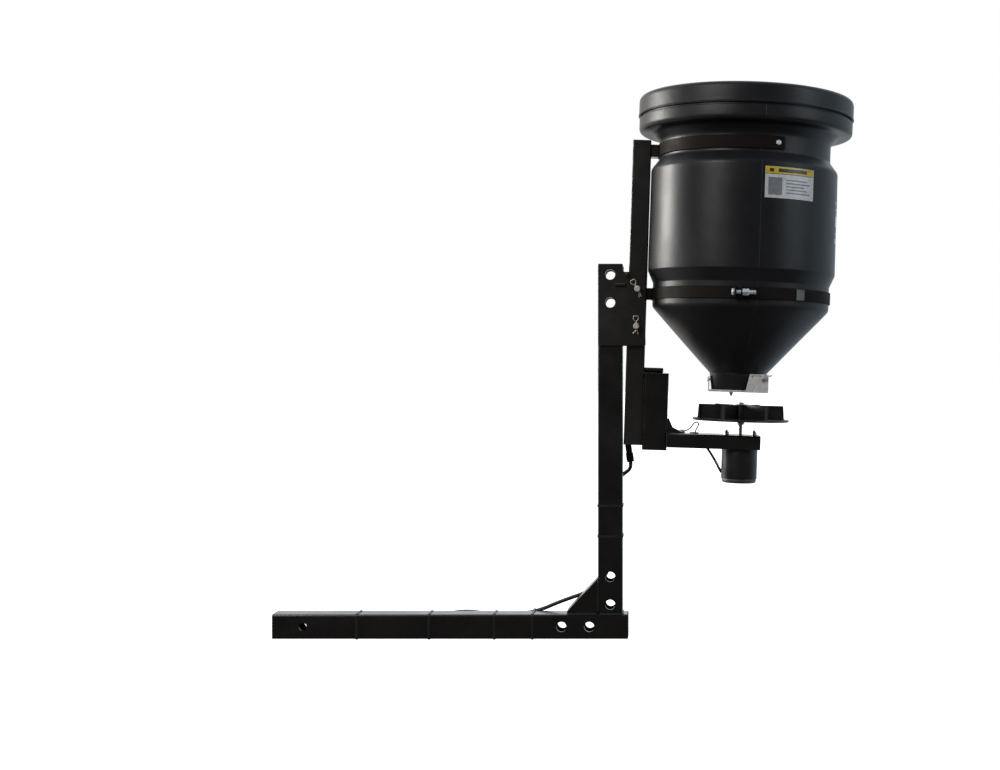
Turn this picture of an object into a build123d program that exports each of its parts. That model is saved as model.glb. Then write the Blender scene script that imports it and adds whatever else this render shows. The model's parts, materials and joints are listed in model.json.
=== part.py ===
"""Receiver-mounted broadcast salt spreader, all sizes in millimetres.

Frame: +Z up, +X from the vehicle towards the hopper, origin at the centre of the
hitch-pin bore in the receiver tube. The mast, hopper and spinner drive are drawn in
an upright unit frame (u right, y, w up) whose origin is the lower hitch pin, and are
then leaned back by MAST_LEAN, as the loaded mast stands in its pins.
"""
import os
from math import cos, degrees, radians, sin, sqrt, tan

from build123d import *

os.makedirs("parts", exist_ok=True)

# ---------------------------------------------------------------- driving dimensions
INCH = 25.4
TUBE = 2.0 * INCH               # receiver tube and post, square
TUBE_WALL = 4.8
TUBE_CORNER = 4.0
RECEIVER_FRONT = -2.5 * INCH    # end of the tube inside the vehicle's receiver
POST_X = 630.0                  # centre line of the post
TUBE_STUB = 8.6                 # the tube runs on past the post by this much
POST_TOP = 743.0
PIN_BORE = 16.2                 # for the vehicle's 5/8 in receiver pin
SPARE_BORE = 20.6               # 13/16 in holes for 3/4 in bolts
SPARE_PITCH = 2.25 * INCH
TUBE_HOLES = (POST_X - 100.3, POST_X - 100.3 + SPARE_PITCH)
POST_HOLES_LOW = (45.5, 45.5 + SPARE_PITCH)
POST_HOLES_HIGH = (POST_TOP - 21.2 - SPARE_PITCH, POST_TOP - 21.2)

MAST = 1.5 * INCH
MAST_WALL = 3.2
MAST_CORNER = 3.0
MAST_LEAN = 1.8                 # degrees, about the lower hitch pin
PIVOT_X = POST_X + 53.5
PIVOT_Z = 616.0
HITCH_PIN = 0.5 * INCH
HITCH_PITCH = 3.0 * INCH
MAST_BOTTOM = -243.5
MAST_TOP = 382.0

AXIS_U = 212.5                  # axis of the hopper and its outlet
DRIVE_U = 221.0                 # axis of the motor and the spinner
HOPPER_WALL = 4.0
BODY_R = 192.2
BODY_TOP_R = 192.0
NECK_R = 176.0
SEAT_R = 181.5
FLANGE_R = 219.5
MOUTH_R = 215.8
CONE_LOW_R = 58.6
CONE_LOW_W = -90.0
CONE_TOP_W = 42.0
CHAMFER_LOW_W = 91.0
BODY_LOW_W = 116.0
BODY_TOP_W = 324.0
NECK_LOW_W = 345.0
NECK_TOP_W = 382.0
FLANGE_LOW_W = 398.4
FLANGE_TOP_W = 428.0
MOUTH_TOP_W = 461.0
LID_R = 220.8
LID_LOW_W = 432.5
LID_TOP_W = 472.5

STRAP_W = (350.0, 375.4)
STRAP_T = 3.2
STRAP_END = 112.7               # degrees each way from the mast side
BAND_W = (56.0, 80.0)
BAND_T = 2.8
SPOUT_LOW_W = -123.6
GATE_T = 2.0

ARM_W = (-245.0, -216.5)
ARM_WIDTH = 3.5 * INCH
ARM_T = 3.2
ARM_END_U = 260.6
BRACKET = 2.0 * INCH
BRACKET_W = (-252.5, -94.3)
BRACKET_WALL = 3.2
BRACKET_U = MAST / 2 + BRACKET / 2
ARM_START_U = MAST / 2 + BRACKET
MOTOR_R = 37.0
MOTOR_TOP_W = ARM_W[1] - ARM_T
MOTOR_LOW_W = -315.2
SHAFT_R = 4.0
DISC_R = 99.3
DISC_W = (-187.7, -183.3)
FIN_TOP_W = -154.5
FIN_COUNT = 6
RUNNING_GAP = 0.05              # radial, shaft in its bearings
CLEAR = 0.3                     # between separate moving bodies

UNIT = Pos(PIVOT_X, 0, PIVOT_Z) * Rot(0, MAST_LEAN, 0)
HOPPER = UNIT * Pos(AXIS_U, 0, 0)
DRIVE = UNIT * Pos(DRIVE_U, 0, 0)
FRONT = -90.0                   # azimuth of the near side, seen from above
NODES = {}


# ------------------------------------------------------------------------- helpers
def keep(name, shape):
    """Store a finished piece, or a group of separate solids, under its node name."""
    solids = shape if isinstance(shape, list) else [shape]
    flat = [solid for item in solids for solid in item.solids()]
    NODES[name] = flat[0] if len(flat) == 1 else Compound(children=flat)


def cyl_z(radius, low, high, x=0.0, y=0.0):
    return Pos(x, y, (low + high) / 2) * Cylinder(radius, high - low)


def cyl_y(radius, near, far, x, z):
    return Pos(x, (near + far) / 2, z) * Rot(90, 0, 0) * Cylinder(radius, far - near)


def cyl_x(radius, left, right, y, z):
    return Pos((left + right) / 2, y, z) * Rot(0, 90, 0) * Cylinder(radius, right - left)


def block(x, y, z):
    """A box from three (low, high) pairs."""
    middle = Pos((x[0] + x[1]) / 2, (y[0] + y[1]) / 2, (z[0] + z[1]) / 2)
    return middle * Box(x[1] - x[0], y[1] - y[0], z[1] - z[0])


def square_tube(size, wall, corner, length):
    """A square tube along Z, centred on the origin, with rounded corners."""
    inner_size = size - 2 * wall
    inner_corner = max(corner - wall, 0.8)
    section = RectangleRounded(size, size, corner) - RectangleRounded(inner_size, inner_size, inner_corner)
    return Pos(0, 0, -length / 2) * extrude(section, length)


def rounded_outline(points, radii):
    """A closed face in XZ from points, with one fillet radius for each point."""
    line = FilletPolyline(*[(x, 0, z) for x, z in points], radius=radii, close=True)
    return make_face(line)


def turned(points, radii):
    """A solid of revolution about Z from an (r, z) outline."""
    return revolve(rounded_outline(points, radii), Axis.Z)


def ring(outer, inner, low, high):
    return cyl_z(outer, low, high) - cyl_z(inner, low - 1, high + 1)


def sector(outer, inner, low, high, start, span):
    """A curved strip of a ring, from azimuth start over span degrees."""
    section = Pos((outer + inner) / 2, 0, (low + high) / 2) * Rot(90, 0, 0) * Rectangle(outer - inner, high - low)
    return Rot(0, 0, start) * revolve(section, Axis.Z, span)


def plate_y(points, near, far):
    """A flat plate in XZ between two Y values."""
    line = Polyline(*[(x, far, z) for x, z in points], close=True)
    return extrude(make_face(line), far - near, dir=(0, -1, 0))


def hexagon(across_flats, height):
    body = extrude(RegularPolygon(across_flats / 2, 6, major_radius=False), height)
    return chamfer(body.faces().sort_by(Axis.Z)[-1].edges(), min(0.12 * across_flats, height / 3))


def nut(across_flats, height, bore):
    return hexagon(across_flats, height) - cyl_z(bore / 2, -1, height + 1)


def bolt(across_flats, head, diameter, length):
    """A hex bolt: head above Z 0, shank below it."""
    return hexagon(across_flats, head) + cyl_z(diameter / 2, -length, 0)


def tube_along(points, diameter, label):
    """A round cord through points: straight runs joined by tangent arcs."""
    route = [Vector(*p) for p in points]
    radii = []
    for before, here, after in zip(route, route[1:], route[2:]):
        turn = radians((here - before).get_angle(after - here))
        shorter = min((here - before).length, (after - here).length)
        radii.append(0.45 * shorter / tan(turn / 2))
    path = FilletPolyline(*points, radius=radii)
    start = path @ 0
    profile = Plane(origin=start, z_dir=path % 0) * Circle(diameter / 2)
    cord = sweep(profile, path=path)
    expected = path.length * 3.14159 * diameter ** 2 / 4
    print(label, "length", round(path.length, 1), "radii", [round(r, 1) for r in radii],
          "volume ratio", round(cord.volume / expected, 3))
    return cord


# --------------------------------------------------------------- hitch frame (fixed)
def receiver_tube():
    right = POST_X + TUBE / 2 + TUBE_STUB
    length = right - RECEIVER_FRONT
    tube = Pos((right + RECEIVER_FRONT) / 2, 0, 0) * Rot(0, 90, 0) * square_tube(TUBE, TUBE_WALL, TUBE_CORNER, length)
    tube -= cyl_y(PIN_BORE / 2, -TUBE, TUBE, 0, 0)
    for x in TUBE_HOLES:
        tube -= cyl_y(SPARE_BORE / 2, -TUBE, TUBE, x, 0)
    keep("receiver_tube", tube)


def end_plug(size, wall, depth, flange):
    """A moulded plug for a square tube: flange above Z 0, ribbed stem below."""
    inner = size - 2 * wall - 0.4
    head = extrude(RectangleRounded(size - 0.6, size - 0.6, 3.0), flange)
    head = chamfer(head.faces().sort_by(Axis.Z)[-1].edges(), min(flange / 2, 1.2))
    stem = Pos(0, 0, -depth) * extrude(RectangleRounded(inner, inner, 0.8), depth)
    hollow = Pos(0, 0, -depth) * extrude(RectangleRounded(inner - 4, inner - 4, 0.8), depth - 1.5)
    return head + stem - hollow


def plugs():
    right = POST_X + TUBE / 2 + TUBE_STUB
    tube_end = Pos(right, 0, 0) * Rot(0, 90, 0) * end_plug(TUBE, TUBE_WALL, 14.0, 3.0)
    post_end = Pos(POST_X, 0, POST_TOP) * end_plug(TUBE, TUBE_WALL, 8.0, 1.6)
    mast_end = UNIT * Pos(0, 0, MAST_TOP) * end_plug(MAST, MAST_WALL, 12.0, 1.8)
    keep("tube_plugs", [tube_end, post_end, mast_end])


def post_tube():
    low = TUBE / 2
    post = Pos(POST_X, 0, (low + POST_TOP) / 2) * square_tube(TUBE, TUBE_WALL, TUBE_CORNER, POST_TOP - low)
    for z in POST_HOLES_LOW + POST_HOLES_HIGH:
        post -= cyl_y(SPARE_BORE / 2, -TUBE, TUBE, POST_X, z)
    keep("post_tube", post)


def corner_gusset():
    """A folded gusset: two triangular cheeks joined by a web along the diagonal."""
    leg_x, leg_z, lip, gauge = 63.5, 73.0, 6.4, 4.8
    right, low = POST_X - TUBE / 2, TUBE / 2
    outline = [(right, low), (right, low + leg_z), (right - 1.5, low + leg_z),
               (right - leg_x, low + lip), (right - leg_x, low)]
    body = plate_y(outline, -TUBE / 2, TUBE / 2)
    slope = sqrt((leg_x - 1.5) ** 2 + (leg_z - lip) ** 2)
    drop = gauge * slope / (leg_x - 1.5)
    inner = [(right + 1, low - 1), (right + 1, low + leg_z - drop), (right - 1.5, low + leg_z - drop),
             (right - leg_x, low + lip - drop), (right - leg_x, low - 1)]
    body -= plate_y(inner, -TUBE / 2 + gauge, TUBE / 2 - gauge)
    keep("corner_gusset", body)


HEAD_PLATE_T = 6.4
HEAD_LEFT = POST_X - TUBE / 2 + 1.0
HEAD_RIGHT = POST_X + 72.0
HEAD_LOW = 576.5
HEAD_STEP = 727.5


def pin_centre(w):
    """World X and Z of a pin at height w on the mast's centre line."""
    lean = radians(MAST_LEAN)
    return PIVOT_X + w * sin(lean), PIVOT_Z + w * cos(lean)


PINS = (pin_centre(0.0), pin_centre(HITCH_PITCH))


def head_plates():
    step_x = POST_X + TUBE / 2 + 1.0
    outline = [(HEAD_LEFT, HEAD_LOW), (HEAD_RIGHT, HEAD_LOW), (HEAD_RIGHT, HEAD_STEP),
               (step_x, HEAD_STEP), (step_x, POST_TOP), (HEAD_LEFT, POST_TOP)]
    for name, side in (("head_plate_near", -1), ("head_plate_far", 1)):
        edges = sorted((side * TUBE / 2, side * (TUBE / 2 + HEAD_PLATE_T)))
        plate = plate_y(outline, *edges)
        corners = plate.edges().filter_by(Axis.Y)
        plate = fillet(corners, 3.0)
        for z in POST_HOLES_HIGH:
            plate -= cyl_y(SPARE_BORE / 2, -TUBE, TUBE, POST_X, z)
        for x, z in PINS:
            plate -= cyl_y(HITCH_PIN / 2 + 0.2, -TUBE, TUBE, x, z)
        keep(name, plate)


def mast_spacers():
    """Washers that fill the space between the narrow mast and the head plates."""
    gap = (TUBE - MAST) / 2
    rings = []
    for x, z in PINS:
        for side in (-1, 1):
            near, far = sorted((side * MAST / 2, side * (MAST / 2 + gap)))
            washer = cyl_y(13.0, near, far, x, z) - cyl_y(HITCH_PIN / 2 + 0.2, near - 1, far + 1, x, z)
            rings.append(washer)
    keep("mast_spacers", rings)


PIN_NEAR_Y = -(TUBE / 2 + HEAD_PLATE_T + 15.0)
PIN_FAR_Y = TUBE / 2 + HEAD_PLATE_T
CLIP_Y = -(TUBE / 2 + HEAD_PLATE_T + 7.5)
CLIP_WIRE = 1.9


# Each cotter: lean of its eye from upright, then the lean of its two bent legs.
COTTER_SET = ((2.7, 14.0, 45.0), (31.0, -14.0, 30.0))
COTTER_EYE = 5.6


def hitch_pins():
    """Two 1/2 in pins, each with a bent pull handle on the far side."""
    pins = []
    for (x, z), (lean, *_) in zip(PINS, COTTER_SET):
        shank = cyl_y(HITCH_PIN / 2, PIN_NEAR_Y, PIN_FAR_Y + 14.0, x, z)
        shank = chamfer(shank.faces().sort_by(Axis.Y)[0].edges(), 1.6)
        shank += cyl_y(HITCH_PIN / 2 + 4.0, PIN_FAR_Y + 0.4, PIN_FAR_Y + 4.0, x, z)
        bend = 10.0
        route = [(x, PIN_FAR_Y + 13.0, z), (x, PIN_FAR_Y + 13.0 + bend * 1.4, z), (x, PIN_FAR_Y + 13.0 + bend * 1.4, z - 52.0)]
        path = FilletPolyline(*route, radius=bend)
        handle = sweep(Plane(origin=path @ 0, z_dir=path % 0) * Circle(HITCH_PIN / 2), path=path)
        pin = shank + handle
        pin -= Pos(x, CLIP_Y, z) * Rot(0, -lean, 0) * Cylinder(CLIP_WIRE + 0.3, 2 * HITCH_PIN)
        pins.append(pin)
    keep("hitch_pins", pins)


def cotter(lean, right_bend, left_bend):
    """A split cotter about its hole: an eye above the pin, two legs bent apart below."""
    half = CLIP_WIRE / 2 + 0.05
    straight, low, leg = 9.6, -8.4, 9.5
    points = []
    for side, bend in ((1, right_bend), (-1, -left_bend)):
        turn = radians(bend)
        end = (side * half + leg * sin(turn), 0, low - leg * cos(turn))
        run = [end, (side * half, 0, low), (side * half, 0, straight),
               (side * COTTER_EYE, 0, straight + COTTER_EYE), (side * COTTER_EYE * 0.8, 0, straight + 2 * COTTER_EYE)]
        points += run if side > 0 else run[::-1]
    path = FilletPolyline(*points, radius=1.9)
    wire = sweep(Plane(origin=path @ 0, z_dir=path % 0) * Circle(CLIP_WIRE / 2), path=path)
    return Rot(0, -lean, 0) * wire


def cotter_pins():
    keep("cotter_pins", [Pos(x, CLIP_Y, z) * cotter(*set_out) for (x, z), set_out in zip(PINS, COTTER_SET)])


def stop_stud():
    """A short round bar welded flat on the near head plate, and a stop pin by the mast."""
    face = -(TUBE / 2 + HEAD_PLATE_T)
    bar = cyl_x(3.4, POST_X + 11.0, POST_X + 31.0, face - 3.0, 701.0)
    bar -= block((POST_X, POST_X + 60), (face, 0), (690, 712))
    pin = chamfer(cyl_y(4.2, face - 7.0, face, POST_X + 35.0, 721.5).edges().group_by(Axis.Y)[0], 0.8)
    keep("stop_stud", [bar, pin])


# ----------------------------------------------------------------- mast and brackets
def mast_tube():
    height = MAST_TOP - MAST_BOTTOM
    tube = Pos(0, 0, (MAST_TOP + MAST_BOTTOM) / 2) * square_tube(MAST, MAST_WALL, MAST_CORNER, height)
    for w in (0.0, HITCH_PITCH):
        tube -= cyl_y(HITCH_PIN / 2 + 0.2, -MAST, MAST, 0, w)
    keep("mast_tube", UNIT * tube)


def saddle(name, outer_r, w_pair, width):
    """A welded standoff from the mast to a band, hollowed to the band's curve."""
    body = block((MAST / 2, AXIS_U - outer_r + 6.0), (-width / 2, width / 2), w_pair)
    body -= Pos(AXIS_U, 0, 0) * cyl_z(outer_r + 0.02, w_pair[0] - 5, w_pair[1] + 5)
    keep(name, UNIT * body)


def neck_strap():
    """A flat strap round the neck, both ends bolted to the hopper."""
    outer = NECK_R + 0.2 + STRAP_T
    strap = sector(outer, NECK_R + 0.2, *STRAP_W, 180.0 - STRAP_END, 2 * STRAP_END)
    middle = sum(STRAP_W) / 2
    for azimuth in STRAP_BOLTS:
        strap -= Rot(0, 0, azimuth) * cyl_x(3.4, NECK_R - 5, outer + 5, 0, middle)
    keep("neck_strap", HOPPER * strap)


STRAP_BOLTS = (180.0 - STRAP_END + 4.6, 180.0 + STRAP_END - 4.6)
STRAP_BOLT_W = sum(STRAP_W) / 2


def strap_bolts():
    heads, washers, nuts = [], [], []
    outer = NECK_R + 0.2 + STRAP_T
    inner = NECK_R - HOPPER_WALL
    for azimuth in STRAP_BOLTS:
        turn = Rot(0, 0, azimuth)
        heads.append(turn * Pos(outer, 0, STRAP_BOLT_W) * Rot(0, 90, 0) * bolt(10.0, 4.2, 6.0, 20.0))
        washers.append(turn * Pos(inner - 3.2, 0, STRAP_BOLT_W) * Rot(0, 90, 0) * (cyl_z(9.0, 0, 1.6) - cyl_z(3.2, -1, 3)))
        nuts.append(turn * Pos(inner - 3.2, 0, STRAP_BOLT_W) * Rot(0, -90, 0) * nut(10.0, 5.2, 6.0))
    keep("strap_bolts", [HOPPER * piece for piece in heads])
    keep("strap_nuts", [HOPPER * piece for piece in nuts + washers])


LUG_AZIMUTH = FRONT - 4.2
LUG_GAP = 9.5
LUG_T = 3.0
LUG_REACH = 17.0
CLAMP_R = SEAT_R + BAND_T + 9.5


def clamp_band():
    """The lower band: a split ring, two out-turned lugs, and a plate over its weld."""
    inner, outer = SEAT_R + 0.2, SEAT_R + 0.2 + BAND_T
    half = degrees((LUG_GAP / 2) / outer)
    band = sector(outer, inner, *BAND_W, LUG_AZIMUTH + half, 360.0 - 2 * half)
    w = sum(BAND_W) / 2
    for side in (-1, 1):
        lug = block((inner + 0.4, outer + LUG_REACH), sorted((side * LUG_GAP / 2, side * (LUG_GAP / 2 + LUG_T))), BAND_W)
        lug -= cyl_y(4.4, -40, 40, CLAMP_R, w)
        band += Rot(0, 0, LUG_AZIMUTH) * lug
    splice = sector(outer + 2.6, outer - 0.2, BAND_W[0] + 1.0, BAND_W[1] - 1.5, FRONT + 33.0, 6.2)
    keep("clamp_band", HOPPER * (band + splice))


def clamp_fasteners():
    w = sum(BAND_W) / 2
    turn = Rot(0, 0, LUG_AZIMUTH) * Pos(CLAMP_R, 0, w)
    seat = LUG_GAP / 2 + LUG_T
    screw = turn * Pos(0, -seat, 0) * Rot(90, 0, 0) * bolt(13.0, 5.4, 8.0, 2 * seat + 26.0)
    first = turn * Pos(0, seat, 0) * Rot(-90, 0, 0) * nut(13.0, 6.8, 8.0)
    second = turn * Pos(0, seat + 7.0, 0) * Rot(-90, 0, 0) * nut(13.0, 6.2, 8.0)
    keep("clamp_bolt", [HOPPER * screw, HOPPER * first, HOPPER * second])


# ------------------------------------------------------------------- hopper and lid
def hopper():
    """A one-piece moulded hopper: cone, seat, body, neck and rolled rim."""
    wall = HOPPER_WALL
    outer = [(CONE_LOW_R, CONE_LOW_W), (SEAT_R, CONE_TOP_W), (SEAT_R, CHAMFER_LOW_W), (BODY_R, BODY_LOW_W),
             (BODY_TOP_R, BODY_TOP_W), (NECK_R, NECK_LOW_W), (NECK_R, NECK_TOP_W), (NECK_R + 14, FLANGE_LOW_W),
             (FLANGE_R, FLANGE_LOW_W + 1.5), (FLANGE_R, FLANGE_TOP_W), (MOUTH_R, FLANGE_TOP_W), (MOUTH_R, MOUTH_TOP_W)]
    outer_radii = [0.5, 14, 5, 6, 16, 9, 16, 14, 10, 3, 1.2, 1.5]
    inner = [(MOUTH_R - wall, MOUTH_TOP_W), (MOUTH_R - wall, FLANGE_LOW_W + wall + 1.5), (NECK_R + 12, FLANGE_LOW_W + wall),
             (NECK_R - wall, NECK_TOP_W + wall), (NECK_R - wall, NECK_LOW_W - 2), (BODY_TOP_R - wall, BODY_TOP_W - 2),
             (BODY_R - wall, BODY_LOW_W + 2), (SEAT_R - wall, CHAMFER_LOW_W + 2), (SEAT_R - wall, CONE_TOP_W + 2),
             (CONE_LOW_R - wall, CONE_LOW_W)]
    inner_radii = [1.5, 4, 12, 12, 8, 12, 8, 6, 12, 0.5]
    shell = turned(outer + inner, outer_radii + inner_radii)
    for azimuth in STRAP_BOLTS:
        shell -= Rot(0, 0, azimuth) * cyl_x(3.2, NECK_R - 12, NECK_R + 5, 0, STRAP_BOLT_W)
    keep("hopper", HOPPER * shell)


def lid():
    """The lift-off lid: a deep skirt, a stepped top and stiffening rings."""
    wall = 4.0
    outline = [(LID_R, LID_LOW_W), (LID_R, LID_TOP_W), (196, LID_TOP_W + 1.0), (190, LID_TOP_W - 4.0), (150, LID_TOP_W - 3.0),
               (144, LID_TOP_W + 2.5), (0, LID_TOP_W + 6.0), (0, LID_TOP_W + 2.0), (142, LID_TOP_W - 1.5),
               (148, LID_TOP_W - 7.0), (192, LID_TOP_W - 8.0), (197, LID_TOP_W - 3.2), (LID_R - wall, LID_TOP_W - wall),
               (LID_R - wall, LID_LOW_W)]
    radii = [1.2, 12.0, 3, 3, 3, 3, 0, 0, 3, 3, 3, 3, 8.0, 1.2]
    body = turned(outline, radii)
    for index in range(LID_RIBS):
        body += Rot(0, 0, 360.0 * index / LID_RIBS) * lid_rib()
    keep("lid", HOPPER * body)


LID_RIBS = 12


def lid_rib():
    """One rib under the lid: it rests on the mouth and centres the lid inside it."""
    top = LID_TOP_W - 3.4
    rib = block((199.0, MOUTH_R - HOPPER_WALL - 1.0), (-1.8, 1.8), (MOUTH_TOP_W - 14.0, top))
    return rib + block((MOUTH_R - HOPPER_WALL - 2.0, LID_R - 3.0), (-1.8, 1.8), (MOUTH_TOP_W + CLEAR, top - 1.0))


def outlet_spout():
    """The tapered outlet ring welded under the cone."""
    wall = 3.6
    spout = turned([(CONE_LOW_R, CONE_LOW_W), (CONE_LOW_R - 4.4, SPOUT_LOW_W), (CONE_LOW_R - 4.4 - wall, SPOUT_LOW_W),
                    (CONE_LOW_R - wall - 1.0, CONE_LOW_W)], [0.6, 1.5, 0.5, 0.5])
    for rivet in gate_rivets():
        spout -= rivet
    keep("outlet_spout", HOPPER * spout)


# ------------------------------------------------------------------------ feed gate
GATE_TRAVEL = 24.0
GATE_WINDOW_Y = 32.0
BLADE_TOP_W = SPOUT_LOW_W - CLEAR
BASE_TOP_W = BLADE_TOP_W - GATE_T - CLEAR
BASE_LOW_W = BASE_TOP_W - GATE_T
CHEEK_TOP_W = -90.5
TAB_NEAR_Y = -59.5              # outer face of the fixed near tab
CHEEK_NEAR_Y = TAB_NEAR_Y - CLEAR - GATE_T
STUD_U = 52.5
STUD_W = -96.0
STUD_R = 2.5
RIVET_R = 2.4
RIVET_W = -104.0


def gate_rivets():
    """Shank cylinders of the rivets that hang the carrier from the spout."""
    left = [cyl_x(RIVET_R, -62.2, -48.0, y, RIVET_W) for y in (-9.0, 9.0)]
    far = [cyl_y(RIVET_R, 48.0, 62.2, x, RIVET_W) for x in (-9.0, 9.0)]
    return left + far


def gate_base():
    """The fixed carrier: a bottom plate with the outlet and three upturned tabs."""
    plate = block((-61.0, 57.0), (TAB_NEAR_Y, 61.0), (BASE_LOW_W, BASE_TOP_W))
    plate -= block((-GATE_TRAVEL / 2, GATE_TRAVEL / 2), (-GATE_WINDOW_Y, GATE_WINDOW_Y), (BASE_LOW_W - 1, BASE_TOP_W + 1))
    plate += block((-61.0, -61.0 + GATE_T), (-18.0, 18.0), (BASE_LOW_W, RIVET_W + 7.0))
    plate += block((-18.0, 18.0), (61.0 - GATE_T, 61.0), (BASE_LOW_W, RIVET_W + 7.0))
    plate += block((26.0, 57.0), (TAB_NEAR_Y, TAB_NEAR_Y + GATE_T), (BASE_LOW_W, CHEEK_TOP_W - 1.0))
    plate -= cyl_y(STUD_R, -70, -50, STUD_U, STUD_W)
    plate -= cyl_z(2.6, BASE_LOW_W - 1, BASE_TOP_W + 1, x=STOP_X, y=STOP_Y)
    for rivet in gate_rivets():
        plate -= rivet
    keep("gate_base", HOPPER * plate)
    heads = []
    for y in (-9.0, 9.0):
        heads.append(cyl_x(4.4, -62.6, -61.0, y, RIVET_W) + cyl_x(RIVET_R, -62.2, -48.0, y, RIVET_W))
    for x in (-9.0, 9.0):
        heads.append(cyl_y(4.4, 61.0, 62.6, x, RIVET_W) + cyl_y(RIVET_R, 48.0, 62.2, x, RIVET_W))
    keep("gate_rivets", [HOPPER * head for head in heads])


def feed_gate():
    """The sliding gate: a blade with one window, folded up at its end into a cheek."""
    low = BLADE_TOP_W - GATE_T
    right = 59.0
    shut = -GATE_TRAVEL * 1.5 - 0.5
    blade = block((-57.0, right), (-56.8, 56.8), (low, BLADE_TOP_W))
    blade -= block((shut, shut + GATE_TRAVEL), (-GATE_WINDOW_Y, GATE_WINDOW_Y), (low - 1, BLADE_TOP_W + 1))
    blade += block((right - GATE_T, right), (CHEEK_NEAR_Y, 56.8), (BASE_LOW_W, BLADE_TOP_W))
    blade += block((right - GATE_T + CLEAR, right), (CHEEK_NEAR_Y, -40.0), (BASE_LOW_W, STUD_W - 12.0))
    cheek = plate_y([(12.5, BASE_LOW_W), (right, BASE_LOW_W), (right, CHEEK_TOP_W), (21.0, CHEEK_TOP_W)],
                    CHEEK_NEAR_Y, CHEEK_NEAR_Y + GATE_T)
    slot_r = STUD_R + 0.5
    cheek -= block((STUD_U - GATE_TRAVEL, STUD_U), (-80, -50), (STUD_W - slot_r, STUD_W + slot_r))
    for x in (STUD_U - GATE_TRAVEL, STUD_U):
        cheek -= cyl_y(slot_r, -80, -50, x, STUD_W)
    keep("feed_gate", HOPPER * (blade + cheek))


STOP_X = -15.0
STOP_Y = -45.0


def gate_fasteners():
    stud = cyl_y(STUD_R, CHEEK_NEAR_Y - 13.0, -56.0, STUD_U, STUD_W)
    stud += cyl_y(5.5, TAB_NEAR_Y + GATE_T, TAB_NEAR_Y + GATE_T + 2.5, STUD_U, STUD_W)
    washer = cyl_y(6.5, CHEEK_NEAR_Y - 1.2, CHEEK_NEAR_Y - 0.1, STUD_U, STUD_W)
    washer -= cyl_y(STUD_R + 0.2, -80, -50, STUD_U, STUD_W)
    keep("gate_stud", [HOPPER * stud, HOPPER * washer])
    stop = cyl_z(2.6, BASE_LOW_W - 7.5, BASE_TOP_W) + Pos(0, 0, BASE_LOW_W - 3.4) * hexagon(7.0, 3.3)
    keep("gate_stop_screw", HOPPER * Pos(STOP_X, STOP_Y, 0) * stop)


def wing_nut():
    """The clamp nut of the gate: a round hub and two raised wings."""
    hub = Cone(5.6, 4.2, 6.5)
    outline = Polyline((3.2, 0, -3.2), (7.0, 0, -2.8), (13.8, 0, 3.2), (13.2, 0, 7.6), (9.0, 0, 7.2), (3.2, 0, 2.6), close=True)
    blade = extrude(make_face(outline), 1.1, both=True)
    blade = fillet(blade.edges().filter_by(Axis.Y), 1.0)
    shape = hub + blade + Rot(0, 0, 180) * blade - Cylinder(STUD_R + RUNNING_GAP, 30)
    seat = CHEEK_NEAR_Y - 1.2 - 0.1 - 3.25
    keep("wing_nut", HOPPER * Pos(STUD_U, seat, STUD_W) * Rot(90, 0, 0) * Rot(0, 0, 17) * shape)


# ----------------------------------------------------------------- spinner drive arm
def arm_bracket():
    height = BRACKET_W[1] - BRACKET_W[0]
    tube = Pos(BRACKET_U, 0, sum(BRACKET_W) / 2) * square_tube(BRACKET, BRACKET_WALL, 5.0, height)
    keep("arm_bracket", UNIT * tube)
    bar = cyl_x(5.5, MAST / 2, MAST / 2 + 39.0, -8.0, BRACKET_W[1] + 5.5)
    bar = chamfer(bar.faces().sort_by(Axis.X)[-1].edges(), 1.5)
    keep("bracket_top_bar", UNIT * bar)
    leg, gauge = 30.0, 5.0
    top = ARM_W[1]
    outline = [(ARM_START_U, top), (ARM_START_U + leg, top), (ARM_START_U + leg, top + 3.0),
               (ARM_START_U + 11.0, top + 12.5), (ARM_START_U + 3.0, top + leg), (ARM_START_U, top + leg)]
    keep("arm_gusset", UNIT * plate_y(outline, -gauge / 2 - 20.0, gauge / 2 - 20.0))


GROMMET_U = 126.0
GROMMET_Y = 6.0
CLIP_BOLT_U = 101.0
CLIP_BOLT_Y = -8.0


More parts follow.
